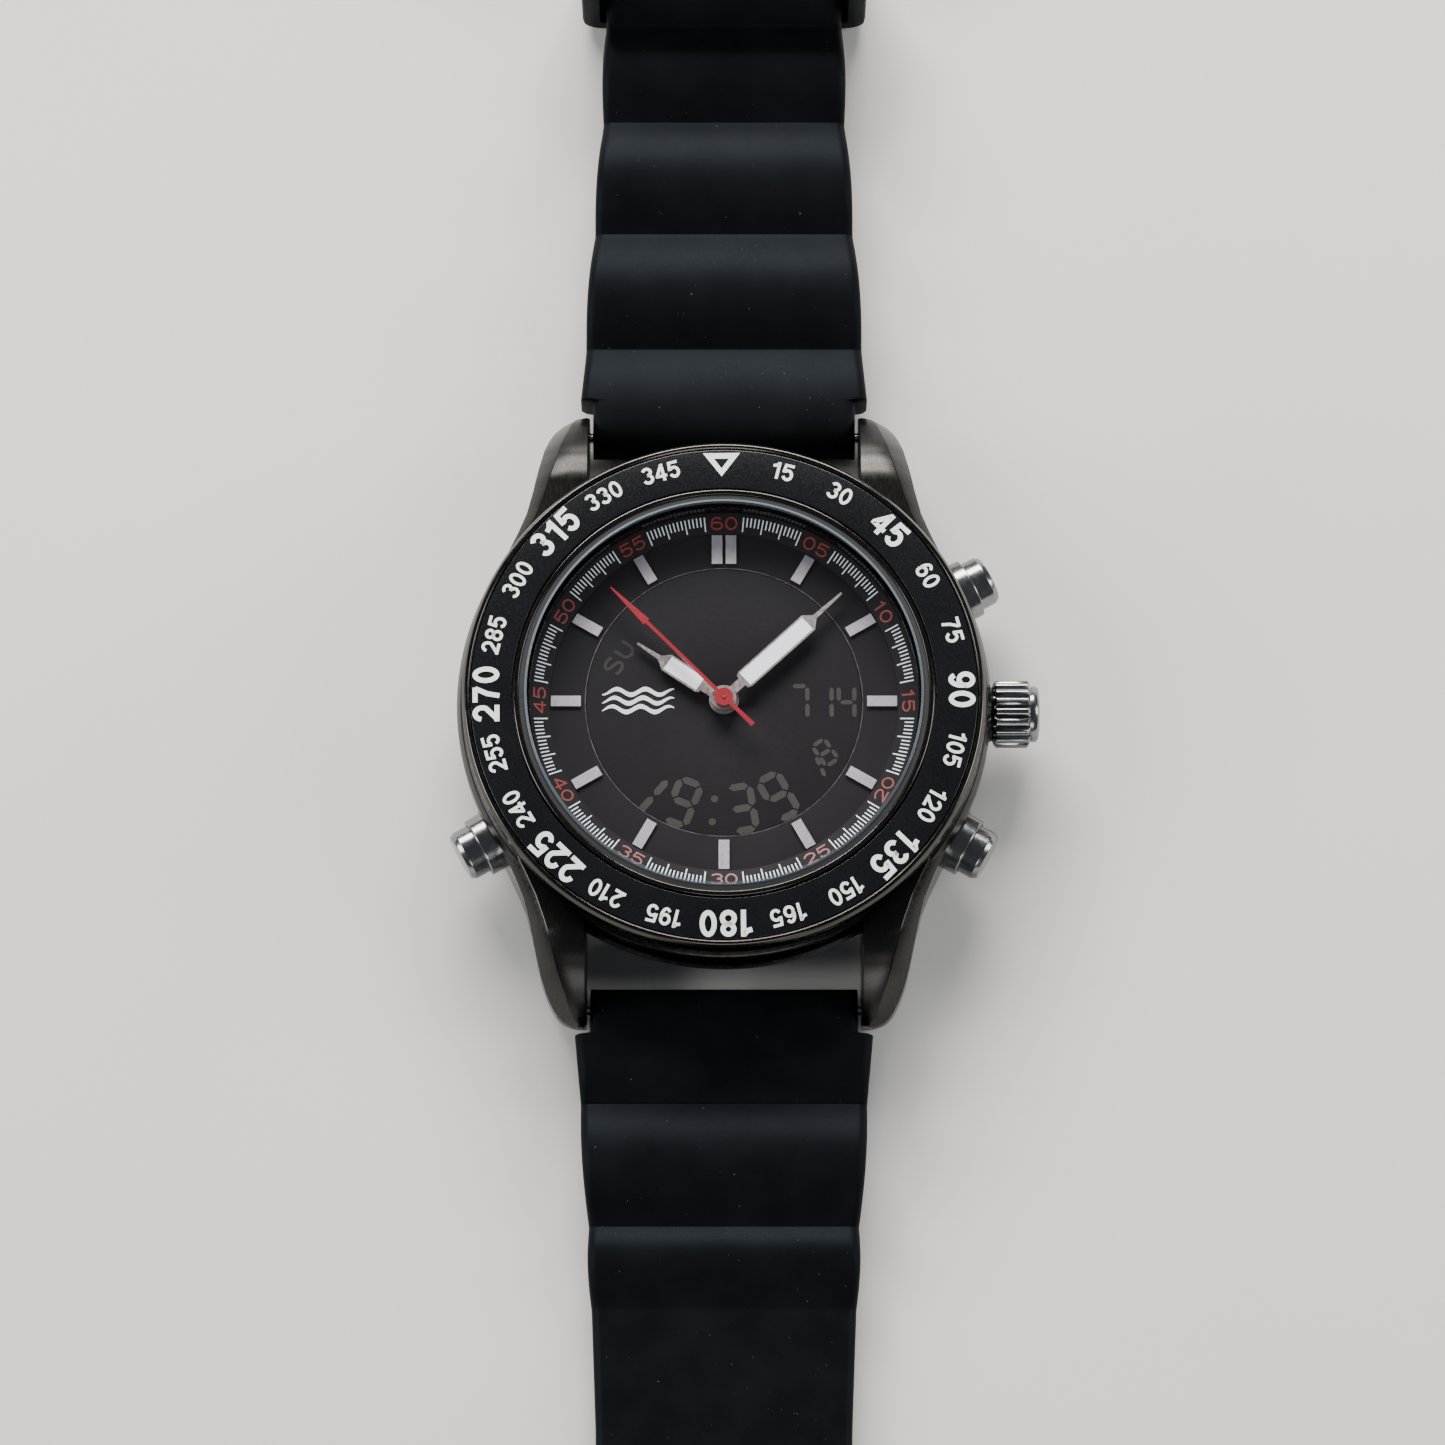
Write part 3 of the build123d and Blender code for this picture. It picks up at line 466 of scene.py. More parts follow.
def repaint(node, key, bevel=0.0):
    """Gives a CAD node a procedural material, and a soft edge where asked."""
    piece = frame["nodes"][node]
    piece.data.materials.clear()
    piece.data.materials.append(M[key])
    if bevel:
        edge = piece.modifiers.new("soft_edge", "BEVEL")
        edge.width = bevel * MM
        edge.segments = 2
        edge.limit_method = "ANGLE"
        edge.angle_limit = radians(30)
        edge.harden_normals = True


# ------ numerals
def bow(x, y, rx, ry, start, end, steps=14):
    """Points on an elliptical arc between two angles."""
    points = []
    for k in range(steps + 1):
        a = radians(start + (end - start) * k / steps)
        points.append((x + rx * cos(a), y + ry * sin(a)))
    return points


def digit_strokes(digit, w, t):
    """Centre lines of a digit one unit high and w wide, drawn t thick."""
    h = t / 2
    cx = w / 2
    rx = cx - h
    top = 1 - h
    waist = 0.53
    upper = (top - waist) / 2
    lower = (waist - h) / 2
    bowl = 0.255
    six = [bow(cx, 0.5, rx, 0.5 - h, 42, 205), bow(cx, h + bowl, rx, bowl, 0, 360, 24)]
    strokes = {
        "0": [bow(cx, 0.5, rx, 0.5 - h, 0, 360, 28)],
        "1": [[(cx + 0.12, 0), (cx + 0.12, 1)], [(cx - 0.2, 0.73), (cx - 0.02, 0.78), (cx + 0.12, 0.95)]],
        "2": [bow(cx, top - 0.27, rx, 0.27, 172, -32) + [(h * 1.3, h * 1.2)], [(0, h), (w, h)]],
        "3": [bow(cx, top - upper, rx * 0.93, upper, 160, -90), bow(cx, h + lower, rx, lower, 90, -162)],
        "4": [
            [(w * 0.66, 1 - h), (h * 0.9, 0.32), (h * 0.9, 0.29), (w, 0.29)], [(w * 0.7, 0), (w * 0.7, 1)],
        ],
        "5": [[(w * 0.95, top), (w * 0.2, top), (w * 0.13, 0.47)], bow(cx, h + 0.27, rx, 0.27, 140, -158)],
        "6": six,
        "7": [[(0, top), (w - h * 0.6, top)], [(w - h, top), (w * 0.52, 0.45), (w * 0.38, 0)]],
        "8": [bow(cx, top - upper, rx * 0.9, upper, 0, 360, 24), bow(cx, h + lower, rx, lower, 0, 360, 24)],
        "9": [[(w - x, 1 - y) for x, y in line] for line in six],
    }
    return strokes[digit]


def ribbon(points, thickness):
    """Flat band along a line, as verts and faces."""
    verts = []
    closed = hypot(points[0][0] - points[-1][0], points[0][1] - points[-1][1]) < 1e-6
    last = len(points) - 1
    for i, (x, y) in enumerate(points):
        before = points[i - 1] if i else (points[-2] if closed else points[0])
        after = points[i + 1] if i < last else (points[1] if closed else points[-1])
        first = Vector((x - before[0], y - before[1]))
        second = Vector((after[0] - x, after[1] - y))
        first = first.normalized() if first.length > 1e-9 else second.normalized()
        second = second.normalized() if second.length > 1e-9 else first
        middle = (first + second).normalized()
        stretch = thickness / 2 / max(0.8, middle.dot(first))
        verts.append((x - middle.y * stretch, y + middle.x * stretch))
        verts.append((x + middle.y * stretch, y - middle.x * stretch))
    faces = [(2 * i + 1, 2 * i + 3, 2 * i + 2, 2 * i) for i in range(last)]
    return verts, faces


def number(text, height, wide, thick, gap=0.1):
    """Number centred on the origin, as verts and faces in millimetres."""
    verts = []
    faces = []
    widths = [wide * (0.78 if digit == "1" else 1.0) for digit in text]
    x = -(sum(widths) + gap * (len(text) - 1)) / 2
    for digit, width in zip(text, widths):
        for line in digit_strokes(digit, width, thick):
            points, quads = ribbon(line, thick)
            base = len(verts)
            verts += [((x + u) * height, (v - 0.5) * height) for u, v in points]
            faces += [tuple(base + i for i in quad) for quad in quads]
        x += width + gap
    return verts, faces


def placed(shape, verts, faces, x, y, turn, surface, index=0):
    """Puts a flat figure on a surface given as a height at (x, y)."""
    c = cos(radians(turn))
    s = sin(radians(turn))
    points = []
    for u, v in verts:
        px = x + u * c - v * s
        py = y + u * s + v * c
        points.append((px, py, surface(px, py)))
    shape.add(points, faces, index)


def on_clock(angle, radius):
    """Point at a clockwise angle from 12 o'clock."""
    return radius * sin(radians(angle)), radius * cos(radians(angle))


def insert_surface(x, y):
    """Height just above the sloped bezel insert."""
    share = (hypot(x, y) - INSERT_IN) / (INSERT_R - INSERT_IN)
    return INSERT_TOP - INSERT_DROP * share + PRINT


# ------ case
LUG_TOP = [
    (12.0, 9.0), (19.0, 9.0), (20.5, 8.55), (22.0, 7.75),
    (23.3, 6.75), (24.4, 5.6), (25.1, 4.5), (25.5, 3.6),
]
LUG_OUTER = [
    (12.0, 17.8), (14.3, 16.7), (16.0, 16.0), (18.0, 15.5), (20.0, 15.1), (22.0, 14.65),
    (23.3, 14.2), (24.2, 13.75), (24.8, 13.3), (25.2, 12.8), (25.5, 12.1),
]
LUG_BASE = [(12.0, 1.3), (22.0, 1.0), (24.6, 0.95), (25.2, 1.2), (25.5, 1.7)]
LUG_IN = 11.0
LUG_TIP = [24.4, 24.7, 24.95, 25.15, 25.3, 25.4, 25.46, 25.5]


def lug_section(y):
    """Outline of a lug across Y: inner side, brushed top, polished bevel, flank, underside."""
    outer = between(y, LUG_OUTER)
    top = between(y, LUG_TOP)
    base = min(between(y, LUG_BASE), top - 0.4)
    depth = top - base
    bevel = min(0.9 + 0.5 * smooth((y - 14) / 8), (outer - LUG_IN) * 0.45)
    fall = min(0.9 + 0.9 * smooth((y - 14) / 8), depth * 0.4)
    crown = 0.1
    return [
        (LUG_IN, base + 0.15), (LUG_IN, top - 0.15), (LUG_IN + 0.12, top - 0.02),
        ((LUG_IN + outer - bevel) / 2, top + crown), (outer - bevel - 0.05, top),
        (outer - bevel + 0.05, top - 0.06), (outer - 0.08, top - fall), (outer, top - fall - 0.1),
        (outer - 0.05, base + 0.4), (outer - 0.3, base), (LUG_IN + 0.2, base),
    ]


LUG_FACES = [1, 0, 0, 0, 2, 2, 2, 1, 1, 1, 1]


def add_lugs(shape):
    """Four lofted lugs."""
    stations = [12.0 + 0.5 * k for k in range(25)] + LUG_TIP
    for sx in (1, -1):
        for sy in (1, -1):
            sections = [[(sx * u, sy * y, v) for u, v in lug_section(y)] for y in stations]
            if sx * sy < 0:
                sections = [list(reversed(section)) for section in sections]
            verts, faces = loft(sections)
            kinds = LUG_FACES if sx * sy > 0 else LUG_FACES[-2::-1] + [LUG_FACES[-1]]
            index = kinds * (len(stations) - 1) + [2, 2]
            shape.add(verts, faces, index)


LIP_Z = 10.9
LIP_R = 16.3


def make_case():
    """Mid-case barrel, crystal neck, lugs and crown boss in one piece."""
    shape = Shape()
    outline = rounded([
        (15.95, 1.9, 0), (16.65, 1.9, 0), (16.65, 1.0, 0), (18.6, 1.0, 0.4), (20.35, 3.0, 1.2),
        (CASE_R, 6.0, 1.2), (CASE_R, 7.9, 0.7), (21.15, 8.85, 0.4), (20.7, CASE_TOP, 0.2),
        (NECK_R, CASE_TOP, 0), (NECK_R, NECK_TOP - SKIN, 0.16), (16.42, NECK_TOP - SKIN, 0.12),
        (16.42, CRYSTAL_BASE, 0),
        (15.6, CRYSTAL_BASE, 0.05), (15.6, 9.3, 0), (15.95, 9.3, 0),
    ])
    verts, faces = spin(outline, 256)
    shape.add(verts, faces, 1)
    for face in range(len(shape.faces)):
        heights = [shape.verts[i][2] for i in shape.faces[face]]
        radii = [hypot(shape.verts[i][0], shape.verts[i][1]) for i in shape.faces[face]]
        if min(heights) > LIP_Z and min(radii) > LIP_R:
            shape.indices[face] = 3
    add_lugs(shape)
    boss = rounded([(1.3, 19.5, 0), (2.3, 19.5, 0), (2.25, 21.5, 0.2), (2.1, 22.04, 0.12), (1.5, 22.04, 0)])
    shape.add(*spin(boss, 64, to_x()), 1)
    seat = rounded([(2.3, 19.0, 0), (3.1, 19.0, 0), (2.95, 20.9, 0.3), (2.62, 21.35, 0.25), (2.5, 21.2, 0)])
    for angle in PUSHERS.values():
        shape.add(*spin(seat, 64, to_x(angle)), 1)
    # Material 1, the flank metal, is darkened as painted shade on the barrel, the lugs' sides and undersides,
    # the crown boss and the pusher seats.
    piece = shape.build("case_body", "head", ["brushed", "flank", "bevel", "lip"], 28)
    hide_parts("case_middle")


def radial_angle(joint):
    """Direction of a pusher, in degrees from +X."""
    axis = JOINTS[joint]["axis"]
    return degrees(atan2(-axis[1], -axis[0]))


PUSHERS = {name: radial_angle(name + "_push") for name in ("pusher_2", "pusher_4", "pusher_8")}


def make_crystal():
    """Flat crystal whose bevel carries a painted bluish-grey reflection."""
    outline = [
        (0.001, CRYSTAL_BASE), (CRYSTAL_R - SKIN, CRYSTAL_BASE), (CRYSTAL_R - SKIN, CRYSTAL_TOP - 0.26),
        (CRYSTAL_R - 0.24, CRYSTAL_TOP - SKIN), (0.001, CRYSTAL_TOP - SKIN),
    ]
    segments = 256
    verts, faces = spin(outline, segments)
    # The bevel faces take the glass with the painted reflection.
    shape = Shape(verts, faces, [0, 1, 1, 0, 0] * segments)
    piece = shape.build("crystal_disc", "head", ["glass", "glass_painted_reflection"], 20)
    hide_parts("crystal")


# ------ bezel
def make_bezel():
    """Bezel ring with its polished rim, and sides darkened as painted shade."""
    outline = rounded([
        (16.95, BEZEL_BOTTOM, 0), (20.55, BEZEL_BOTTOM, 0.15), (20.95, 9.75, 0.2), (20.8, 10.1, 0.1),
        (20.98, 10.4, 0.15), (20.98, 11.15, 0.3), (20.72, BEZEL_TOP - 0.03, 0.25),
        (20.48, BEZEL_TOP - 0.03, 0.1), (INSERT_R + 0.04, 11.5, 0.05), (INSERT_R + 0.04, 11.15, 0),
        (16.95, 11.15, 0),
    ])
    verts, faces = spin(outline, 256)
    shape = Shape()
    index = []
    for face in faces:
        height = sum(verts[i].z for i in face) / 4
        radius = sum(hypot(verts[i].x, verts[i].y) for i in face) / 4
        # Faces other than the top rim take the darkened side metal, painted shade.
        index.append(0 if height > 11.2 and radius > INSERT_R else 1)
    shape.add(verts, faces, index)
    piece = shape.build("bezel_body", "bezel", ["rim", "bezel_side_painted_shade"], 30)
    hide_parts("bezel_ring")


def make_insert():
    """Black insert with soft edges."""
    outline = rounded([
        (INSERT_IN + SKIN, 11.16, 0), (INSERT_R - 0.03, 11.16, 0),
        (INSERT_R - 0.03, INSERT_TOP - INSERT_DROP, 0.08), (INSERT_IN + SKIN, INSERT_TOP, 0.08),
    ])
    shape = Shape(*spin(outline, 256))
    piece = shape.build("insert_body", "bezel", ["insert"], 30)
    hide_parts("bezel_insert")


BEZEL_LEAN = 0.6  # degrees that the bezel is turned anticlockwise in the photograph
PRINT_R = 19.02


def make_insert_print():
    """Degree numerals every 15 degrees and the triangle at 12 o'clock."""
    shape = Shape()
    for value in range(15, 360, 15):
        main = value % 45 == 0
        height = 2.15 if main else 1.46
        stroke = 0.185 if main else 0.165
        verts, faces = number(str(value), height, 0.63, stroke, 0.115)
        x, y = on_clock(value - BEZEL_LEAN, PRINT_R)
        placed(shape, verts, faces, x, y, BEZEL_LEAN - value, insert_surface)
    outer = [(-1.5, 0.98), (1.5, 0.98), (0, -1.02)]
    inner = [(-0.62, 0.5), (0.62, 0.5), (0, -0.34)]
    faces = [(0, 3, 4, 1), (1, 4, 5, 2), (2, 5, 3, 0)]
    x, y = on_clock(-BEZEL_LEAN, PRINT_R)
    placed(shape, outer + inner, faces, x, y, BEZEL_LEAN, insert_surface)
    shape.build("insert_print", "bezel", ["white"], 30)


# ------ dial
def make_dial():
    """Dial plate with the edge of the display window."""
    back = low("dial")[2] + SKIN
    outline = rounded([
        (WINDOW_R, back, 0), (DIAL_R - SKIN, back, 0),
        (DIAL_R - SKIN, DIAL_TOP, 0), (WINDOW_R, DIAL_TOP, 0.03),
    ])
    shape = Shape(*spin(outline, 192))
    line = [
        (WINDOW_R, DIAL_TOP - 0.03), (WINDOW_R + 0.09, DIAL_TOP - 0.03),
        (WINDOW_R + 0.09, DIAL_TOP + 0.008), (WINDOW_R, DIAL_TOP + 0.008),
    ]
    shape.add(*spin(line, 192), 1)
    piece = shape.build("dial_plate", "head", ["dial", "window_line"], 30)
    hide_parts("dial")


RING_IN = 14.0
RING_LIP = DIAL_TOP + 0.2
RING_RISE = RING_TOP + 0.45


def make_minute_ring():
    """Sloped ring round the dial that carries the minute scale."""
    outline = rounded([
        (RING_IN, DIAL_TOP, 0), (DIAL_R - SKIN, DIAL_TOP, 0),
        (DIAL_R - SKIN, RING_RISE, 0.05), (RING_IN, RING_LIP, 0.05),
    ])
    shape = Shape(*spin(outline, 192))
    piece = shape.build("minute_ring", "head", ["minute_ring"], 30)
    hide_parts("chapter_ring")


def ring_surface(x, y):
    """Height just above the sloped minute ring."""
    share = (hypot(x, y) - RING_IN) / (DIAL_R - RING_IN)
    return RING_LIP + (RING_RISE - RING_LIP) * share + PRINT


MINUTE_TICK = 14.22
FIFTH_TICK = 14.62
TICK_END = 15.32
TICK_HALF = 0.05
MINUTE_R = 14.8


def make_minute_print():
    """Ticks at every fifth of a minute and red numerals every five minutes."""
    shape = Shape()
    for sector in range(12):
        for step in range(16):
            angle = 30 * sector + 6 + 1.2 * step
            inner = MINUTE_TICK if step % 5 == 0 else FIFTH_TICK
            verts = [(-TICK_HALF, inner), (TICK_HALF, inner), (TICK_HALF, TICK_END), (-TICK_HALF, TICK_END)]
            placed(shape, verts, [(0, 1, 2, 3)], 0, 0, -angle, ring_surface)
        turn = 180 if 4 <= sector <= 8 else 0
        verts, faces = number(f"{5 * sector or 60:02d}", 1.02, 0.98, 0.145, 0.16)
        x, y = on_clock(30 * sector, MINUTE_R)
        placed(shape, verts, faces, x, y, turn - 30 * sector, ring_surface, 1)
    shape.build("minute_print", "head", ["tick", "red_print"], 30)


SEGMENTS = {"1": "bc", "3": "abgcd", "4": "fgbc", "7": "abc", "8": "abcdefg", "9": "abcdfg"}


def segment_bars(width, height, weight):
    """Outlines of the seven bars of a digit."""
    w = width / 2
    h = height / 2
    t = weight
    gap = 0.09
    flat = [(-w + gap, 0), (-w + gap + t / 2, t / 2), (w - gap - t / 2, t / 2), (w - gap, 0),
            (w - gap - t / 2, -t / 2), (-w + gap + t / 2, -t / 2)]
    def level(y):
        return [(u, v + y) for u, v in flat]
    def upright(x, a, b):
        return [(x, a + gap), (x + t / 2, a + gap + t / 2), (x + t / 2, b - gap - t / 2), (x, b - gap),
                (x - t / 2, b - gap - t / 2), (x - t / 2, a + gap + t / 2)]
    return {
        "a": level(h), "g": level(0), "d": level(-h), "b": upright(w, 0, h), "c": upright(w, -h, 0),
        "f": upright(-w, 0, h), "e": upright(-w, -h, 0),
    }


LCD_FACE = DIAL_TOP - 0.04


def lcd_surface(x, y):
    """Height just above the display glass."""
    return LCD_FACE + 0.01


def make_display():
    """Display cell whose front glass fills the dial's window."""
    window = WINDOW_R - 0.04
    bottom = low("lcd_cell")[2]
    edge = high("lcd_cell")[0]
    outline = rounded([
        (0.96, bottom, 0), (edge, bottom, 0), (edge, LCD_TOP - SKIN, 0), (window, LCD_TOP - SKIN, 0),
        (window, LCD_FACE, 0.04), (0.96, LCD_FACE, 0.04),
    ])
    shape = Shape(*spin(outline, 160))
    piece = shape.build("display_cell", "head", ["lcd"], 30)
    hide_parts("lcd_cell")


def add_digit(shape, text, x, y, width, height, weight, turn):
    """One seven-segment digit."""
    bars = segment_bars(width, height, weight)
    for key in SEGMENTS[text]:
        placed(shape, bars[key], [tuple(range(6))], x, y, turn, lcd_surface)


def make_display_print():
    """Day letters, date and time on the display."""
    shape = Shape()
    for text, x, y in (("1", -6.3, -7.25), ("9", -3.3, -8.35), ("3", 1.45, -8.85), ("9", 4.35, -7.85)):
        turn = degrees(atan2(y, x)) + 90
        add_digit(shape, text, x, y, 1.75, 3.6, 0.58, turn)
    for radius in (8.1, 10.0):
        x, y = on_clock(185.4, radius)
        dot = bow(0, 0, 0.3, 0.3, 0, 330, 11)
        placed(shape, dot, [tuple(range(12))], x, y, 0, lcd_surface)
    for text, x, width in (("7", 6.05, 1.3), ("1", 8.05, 1.2), ("4", 9.85, 1.25)):
        add_digit(shape, text, x, -0.05, width, 2.7, 0.36, 0)
    for text, angle in (("1", 128.0), ("8", 117.5)):
        x, y = on_clock(angle, 9.15)
        add_digit(shape, text, x, y, 1.15, 2.0, 0.34, 152 - angle)
    letter_s = bow(0.5, 0.74, 0.4, 0.19, 30, 270) + bow(0.5, 0.29, 0.4, 0.22, 90, -150)
    letter_u = [(1.3, 0.93), (1.3, 0.42)] + bow(1.68, 0.42, 0.38, 0.33, 180, 360) + [(2.06, 0.93)]
    for line in (letter_s, letter_u):
        verts, faces = ribbon([((x - 1.05) * 1.35, (y - 0.5) * 1.55) for x, y in line], 0.26)
        placed(shape, verts, faces, -8.45, 3.6, 56, lcd_surface, 1)
    shape.build("display_print", "head", ["segment", "segment_faint"], 30)


def make_emblem():
    """Three wave lines, a generic mark in place of the printed one."""
    shape = Shape()
    count = 40
    for row in range(3):
        upper = []
        lower = []
        for k in range(count + 1):
            u = -2.9 + 5.8 * k / count
            crest = 0.24 * sin(2 * pi * u / 2.3 + 0.5 * row) + 0.72 * (1 - row)
            half = 0.19 * (1 - (abs(u) / 3.05) ** 4)
            upper.append((u, crest + half))
            lower.append((u, crest - half))
        faces = [(count + 1 + k, count + 2 + k, k + 1, k) for k in range(count)]
        placed(shape, upper + lower, faces, -6.9, 0.1, 0, lcd_surface)
    shape.build("emblem_print", "head", ["white"], 30)


# ------ crown and pushers
def make_crown():
    """Fluted crown with a domed, polished end."""
    start = low("crown")[0]
    stations = [
        (1.5, 0.62, 0.0), (1.5, 1.9, 0.0), (0.15, 1.9, 0.0), (0.15, 2.36, 0.0), (-0.35, 2.36, 0.0),
        (-0.33, 2.46, 0.3), (-0.12, 2.72, 1.0), (2.42, 2.72, 1.0), (2.6, 2.45, 0.3), (2.62, 2.2, 0.0),
        (2.72, 2.2, 0.0), (2.75, 2.28, 0.0), (3.1, 2.26, 0.0), (3.28, 2.1, 0.0), (3.36, 1.8, 0.0),
        (3.39, 1.2, 0.0), (3.395, 0.02, 0.0),
    ]
    teeth = 18
    steps = 12
    sections = []
    for along, radius, share in stations:
        section = []
        for k in range(teeth * steps):
            phase = (k % steps) / steps
            groove = max(0.0, 1 - abs(phase - 0.5) / 0.3)
            r = radius - 0.36 * share * groove
            a = 2 * pi * k / (teeth * steps)
            section.append((start + along, r * cos(a), STEM_Z + r * sin(a)))
        sections.append(section)
    shape = Shape(*loft(sections))
    piece = shape.build("crown_body", "crown_turner", ["polished"], 40)
    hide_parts("crown")


COLLAR_TOP = 22.72
CAP_BACK = 22.52
STEM_R = 0.6
STEM_END = 15.15


def add_collar(shape, matrix):
    """Tube that guides a cap, with its floor inside the case."""
    tube = rounded([(2.15, 20.9, 0), (2.45, 20.9, 0), (2.45, COLLAR_TOP, 0.16), (2.15, COLLAR_TOP, 0.06)])
    floor = [(0.65, 20.9), (2.3, 20.9), (2.3, 21.0), (0.65, 21.0)]
    shape.add(*spin(tube, 72, matrix))
    shape.add(*spin(floor, 72, matrix))


def pusher_outline():
    """Half section of a pusher: grooved stem, spring pocket and chamfered cap."""
    return rounded([
        (0.001, STEM_END, 0), (STEM_R, STEM_END, 0), (STEM_R, 15.55, 0), (0.42, 15.55, 0), (0.42, 15.85, 0),
        (STEM_R, 15.85, 0), (STEM_R, 23.35, 0), (1.75, 23.35, 0), (1.75, CAP_BACK, 0), (2.07, CAP_BACK, 0),
        (2.07, 23.95, 0.2), (1.84, 24.36, 0.2), (0.001, 24.4, 0),
    ], 6)


def make_pushers():
    """Collars, caps and springs of the three pushers."""
    collars = Shape()
    for name, angle in PUSHERS.items():
        add_collar(collars, to_x(angle))
        shape = Shape(*spin(pusher_outline(), 96, to_x(angle)))
        piece = shape.build(name + "_cap", name + "_button", ["polished"], 30)
        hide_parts(name)
        coils = Shape()
        for turn in range(3):
            wire = bow(1.25, CAP_BACK + 0.16 + 0.25 * turn, 0.11, 0.11, 0, 345, 12)
            coils.add(*spin(wire, 48, to_x(angle)))
        piece = coils.build(name + "_coils", name + "_button", ["steel"], 60)
        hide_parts(name + "_spring")
    piece = collars.build("pusher_sleeves", "head", ["polished"], 30)
    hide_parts("pusher_collars")


# ------ strap
def rib(y, creases):
    """Arch between creases: 0 at a crease, 1 at a crest; 0 outside."""
    for near, far in zip(creases[:-1], creases[1:]):
        if near <= y <= far:
            t = (y - near) / (far - near)
            return max(0.0, 4 * t * (1 - t)) ** 1.15
    return 0.0


def strap_section(y, half, base, top, radius):
    """Rounded section across the strap, with an evenly divided top."""
    flat = half - radius
    across_count = 24
    outline = []
    for x, z, start in ((-flat, base + radius, 180), (flat, base + radius, 270), (flat, top - radius, 0)):
        outline += bow(x, z, radius, radius, start, start + 90, 5)
    outline += [(flat - 2 * flat * k / across_count, top) for k in range(1, across_count)]
    outline += bow(-flat, top - radius, radius, radius, 90, 180, 5)
    return [(x, y, z) for x, z in outline]


BAR_LOOP_R = 1.5
BAR_LOOP_IN = 2.1
BAR_LOOP_OUT = 9.8


def add_bar_loops(shape):
    """Strap's rounded ends round the buckle bar, either side of the tongue."""
    for a, b in ((-BAR_LOOP_OUT, -BAR_LOOP_IN), (BAR_LOOP_IN, BAR_LOOP_OUT)):
        sections = []
        for x, share in ((a, 0.86), (a + 0.25, 1.0), (b - 0.25, 1.0), (b, 0.86)):
            radius = BAR_LOOP_R * share
            ring = bow(BUCKLE_Y, BUCKLE_Z, radius, radius, 0, 348.75, 31)
            sections.append([(x, y, z) for y, z in ring])
        shape.add(*loft(sections))


def stations_between(start, end, marks, step):
    """Positions along the strap: even steps, closer near the marks."""
    places = {start, end}
    count = int((end - start) / step)
    for k in range(count + 1):
        places.add(round(start + (end - start) * k / count, 4))
    for mark in marks:
        for shift in (-0.5, -0.25, -0.1, 0, 0.1, 0.25, 0.5):
            if start < mark + shift < end:
                places.add(round(mark + shift, 4))
    return sorted(places)


NECK_HALF = 10.72
ROOT_R = 1.78
ROOT_BACK = BAR_Y - 1.76


def root_floor(y, floors):
    """Underside, rounded up round the spring bar."""
    if y >= BAR_Y:
        return between(y, floors)
    reach = min(1.0, (BAR_Y - y) / ROOT_R)
    return BAR_Z - ROOT_R * sqrt(1 - reach * reach)


def root_top(y, crest, height, crease, crease_height):
    """Top of the first rib: an arc over the crest, rounded down behind the spring bar."""
    if y >= crest:
        share = (y - crest) / (crease - crest)
        return height - (height - crease_height) * share ** 2
    reach = min(1.0, (crest - y) / (crest - ROOT_BACK))
    return BAR_Z + (height - BAR_Z) * sqrt(1 - reach ** 2.6)


def strap_body(shape, side, creases, widths, shoulder, end, floors, ceilings, peaks, front):
    """Ribbed strap from the loop on the spring bar to a plain band."""
    marks = creases + (shoulder, shoulder + 0.15, ROOT_BACK + 0.4)
    places = stations_between(ROOT_BACK, end, marks, 0.35)
    heights = list(zip(creases, peaks))
    sections = []
    for y in places:
        arch = rib(y, creases)
        base = root_floor(y, floors)
        if y < creases[0]:
            top = root_top(y, *front)
        else:
            top = between(y, ceilings) + between(y, heights) * arch
        half = NECK_HALF + (between(y, widths) + 0.2 * arch - NECK_HALF) * smooth((y - shoulder) / 0.2)
        radius = min(0.8, (top - base) * 0.45)
        section = [(x, side * along, z) for x, along, z in strap_section(y, half, base, top, radius)]
        sections.append(section if side > 0 else list(reversed(section)))
    shape.add(*loft(sections))


CREASES_12 = (31.4, 41.4, 51.2, 59.6)
CREASES_6 = (31.9, 41.8, 48.4)
WIDTH_12 = [(26.4, 11.78), (30.0, 11.45), (40.2, 10.75), (50.2, 10.05), (59.0, 9.8), (104, 9.8)]
WIDTH_6 = [(26.3, 11.95), (31.8, 11.45), (41.6, 10.75), (58.0, 10.15), (75.0, 9.95)]
STRAP_T = 3.0
LIFT = BUCKLE_Z - STRAP_T / 2


def make_short_strap():
    """Buckle-side strap: ribs near the case, then a smooth band to the buckle bar."""
    shape = Shape()
    floors = [(26.4, 0.85), (58.0, LIFT), (200, LIFT)]
    ceilings = [(31.4, 3.75), (51.2, 3.9), (59.6, LIFT + STRAP_T), (200, LIFT + STRAP_T)]
    front = (25.6, 5.2, CREASES_12[0], 3.76)
    peaks = (1.5, 1.5, 1.35, 1.1)
    fork = BUCKLE_Y - 4.6
    strap_body(shape, 1, CREASES_12, WIDTH_12, 26.55, fork, floors, ceilings, peaks, front)
    for side in (-1, 1):
        prong = []
        for y in (fork, BUCKLE_Y - 3, BUCKLE_Y - 1.5, BUCKLE_Y):
            section = strap_section(y, 3.85, LIFT, LIFT + STRAP_T, 0.5)
            prong.append([(x + side * 5.95, along, z) for x, along, z in section])
        shape.add(*loft(prong))
    add_bar_loops(shape)
    piece = shape.build("short_strap", "strap_12", ["rubber"], 32)
    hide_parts("strap_buckle_side")


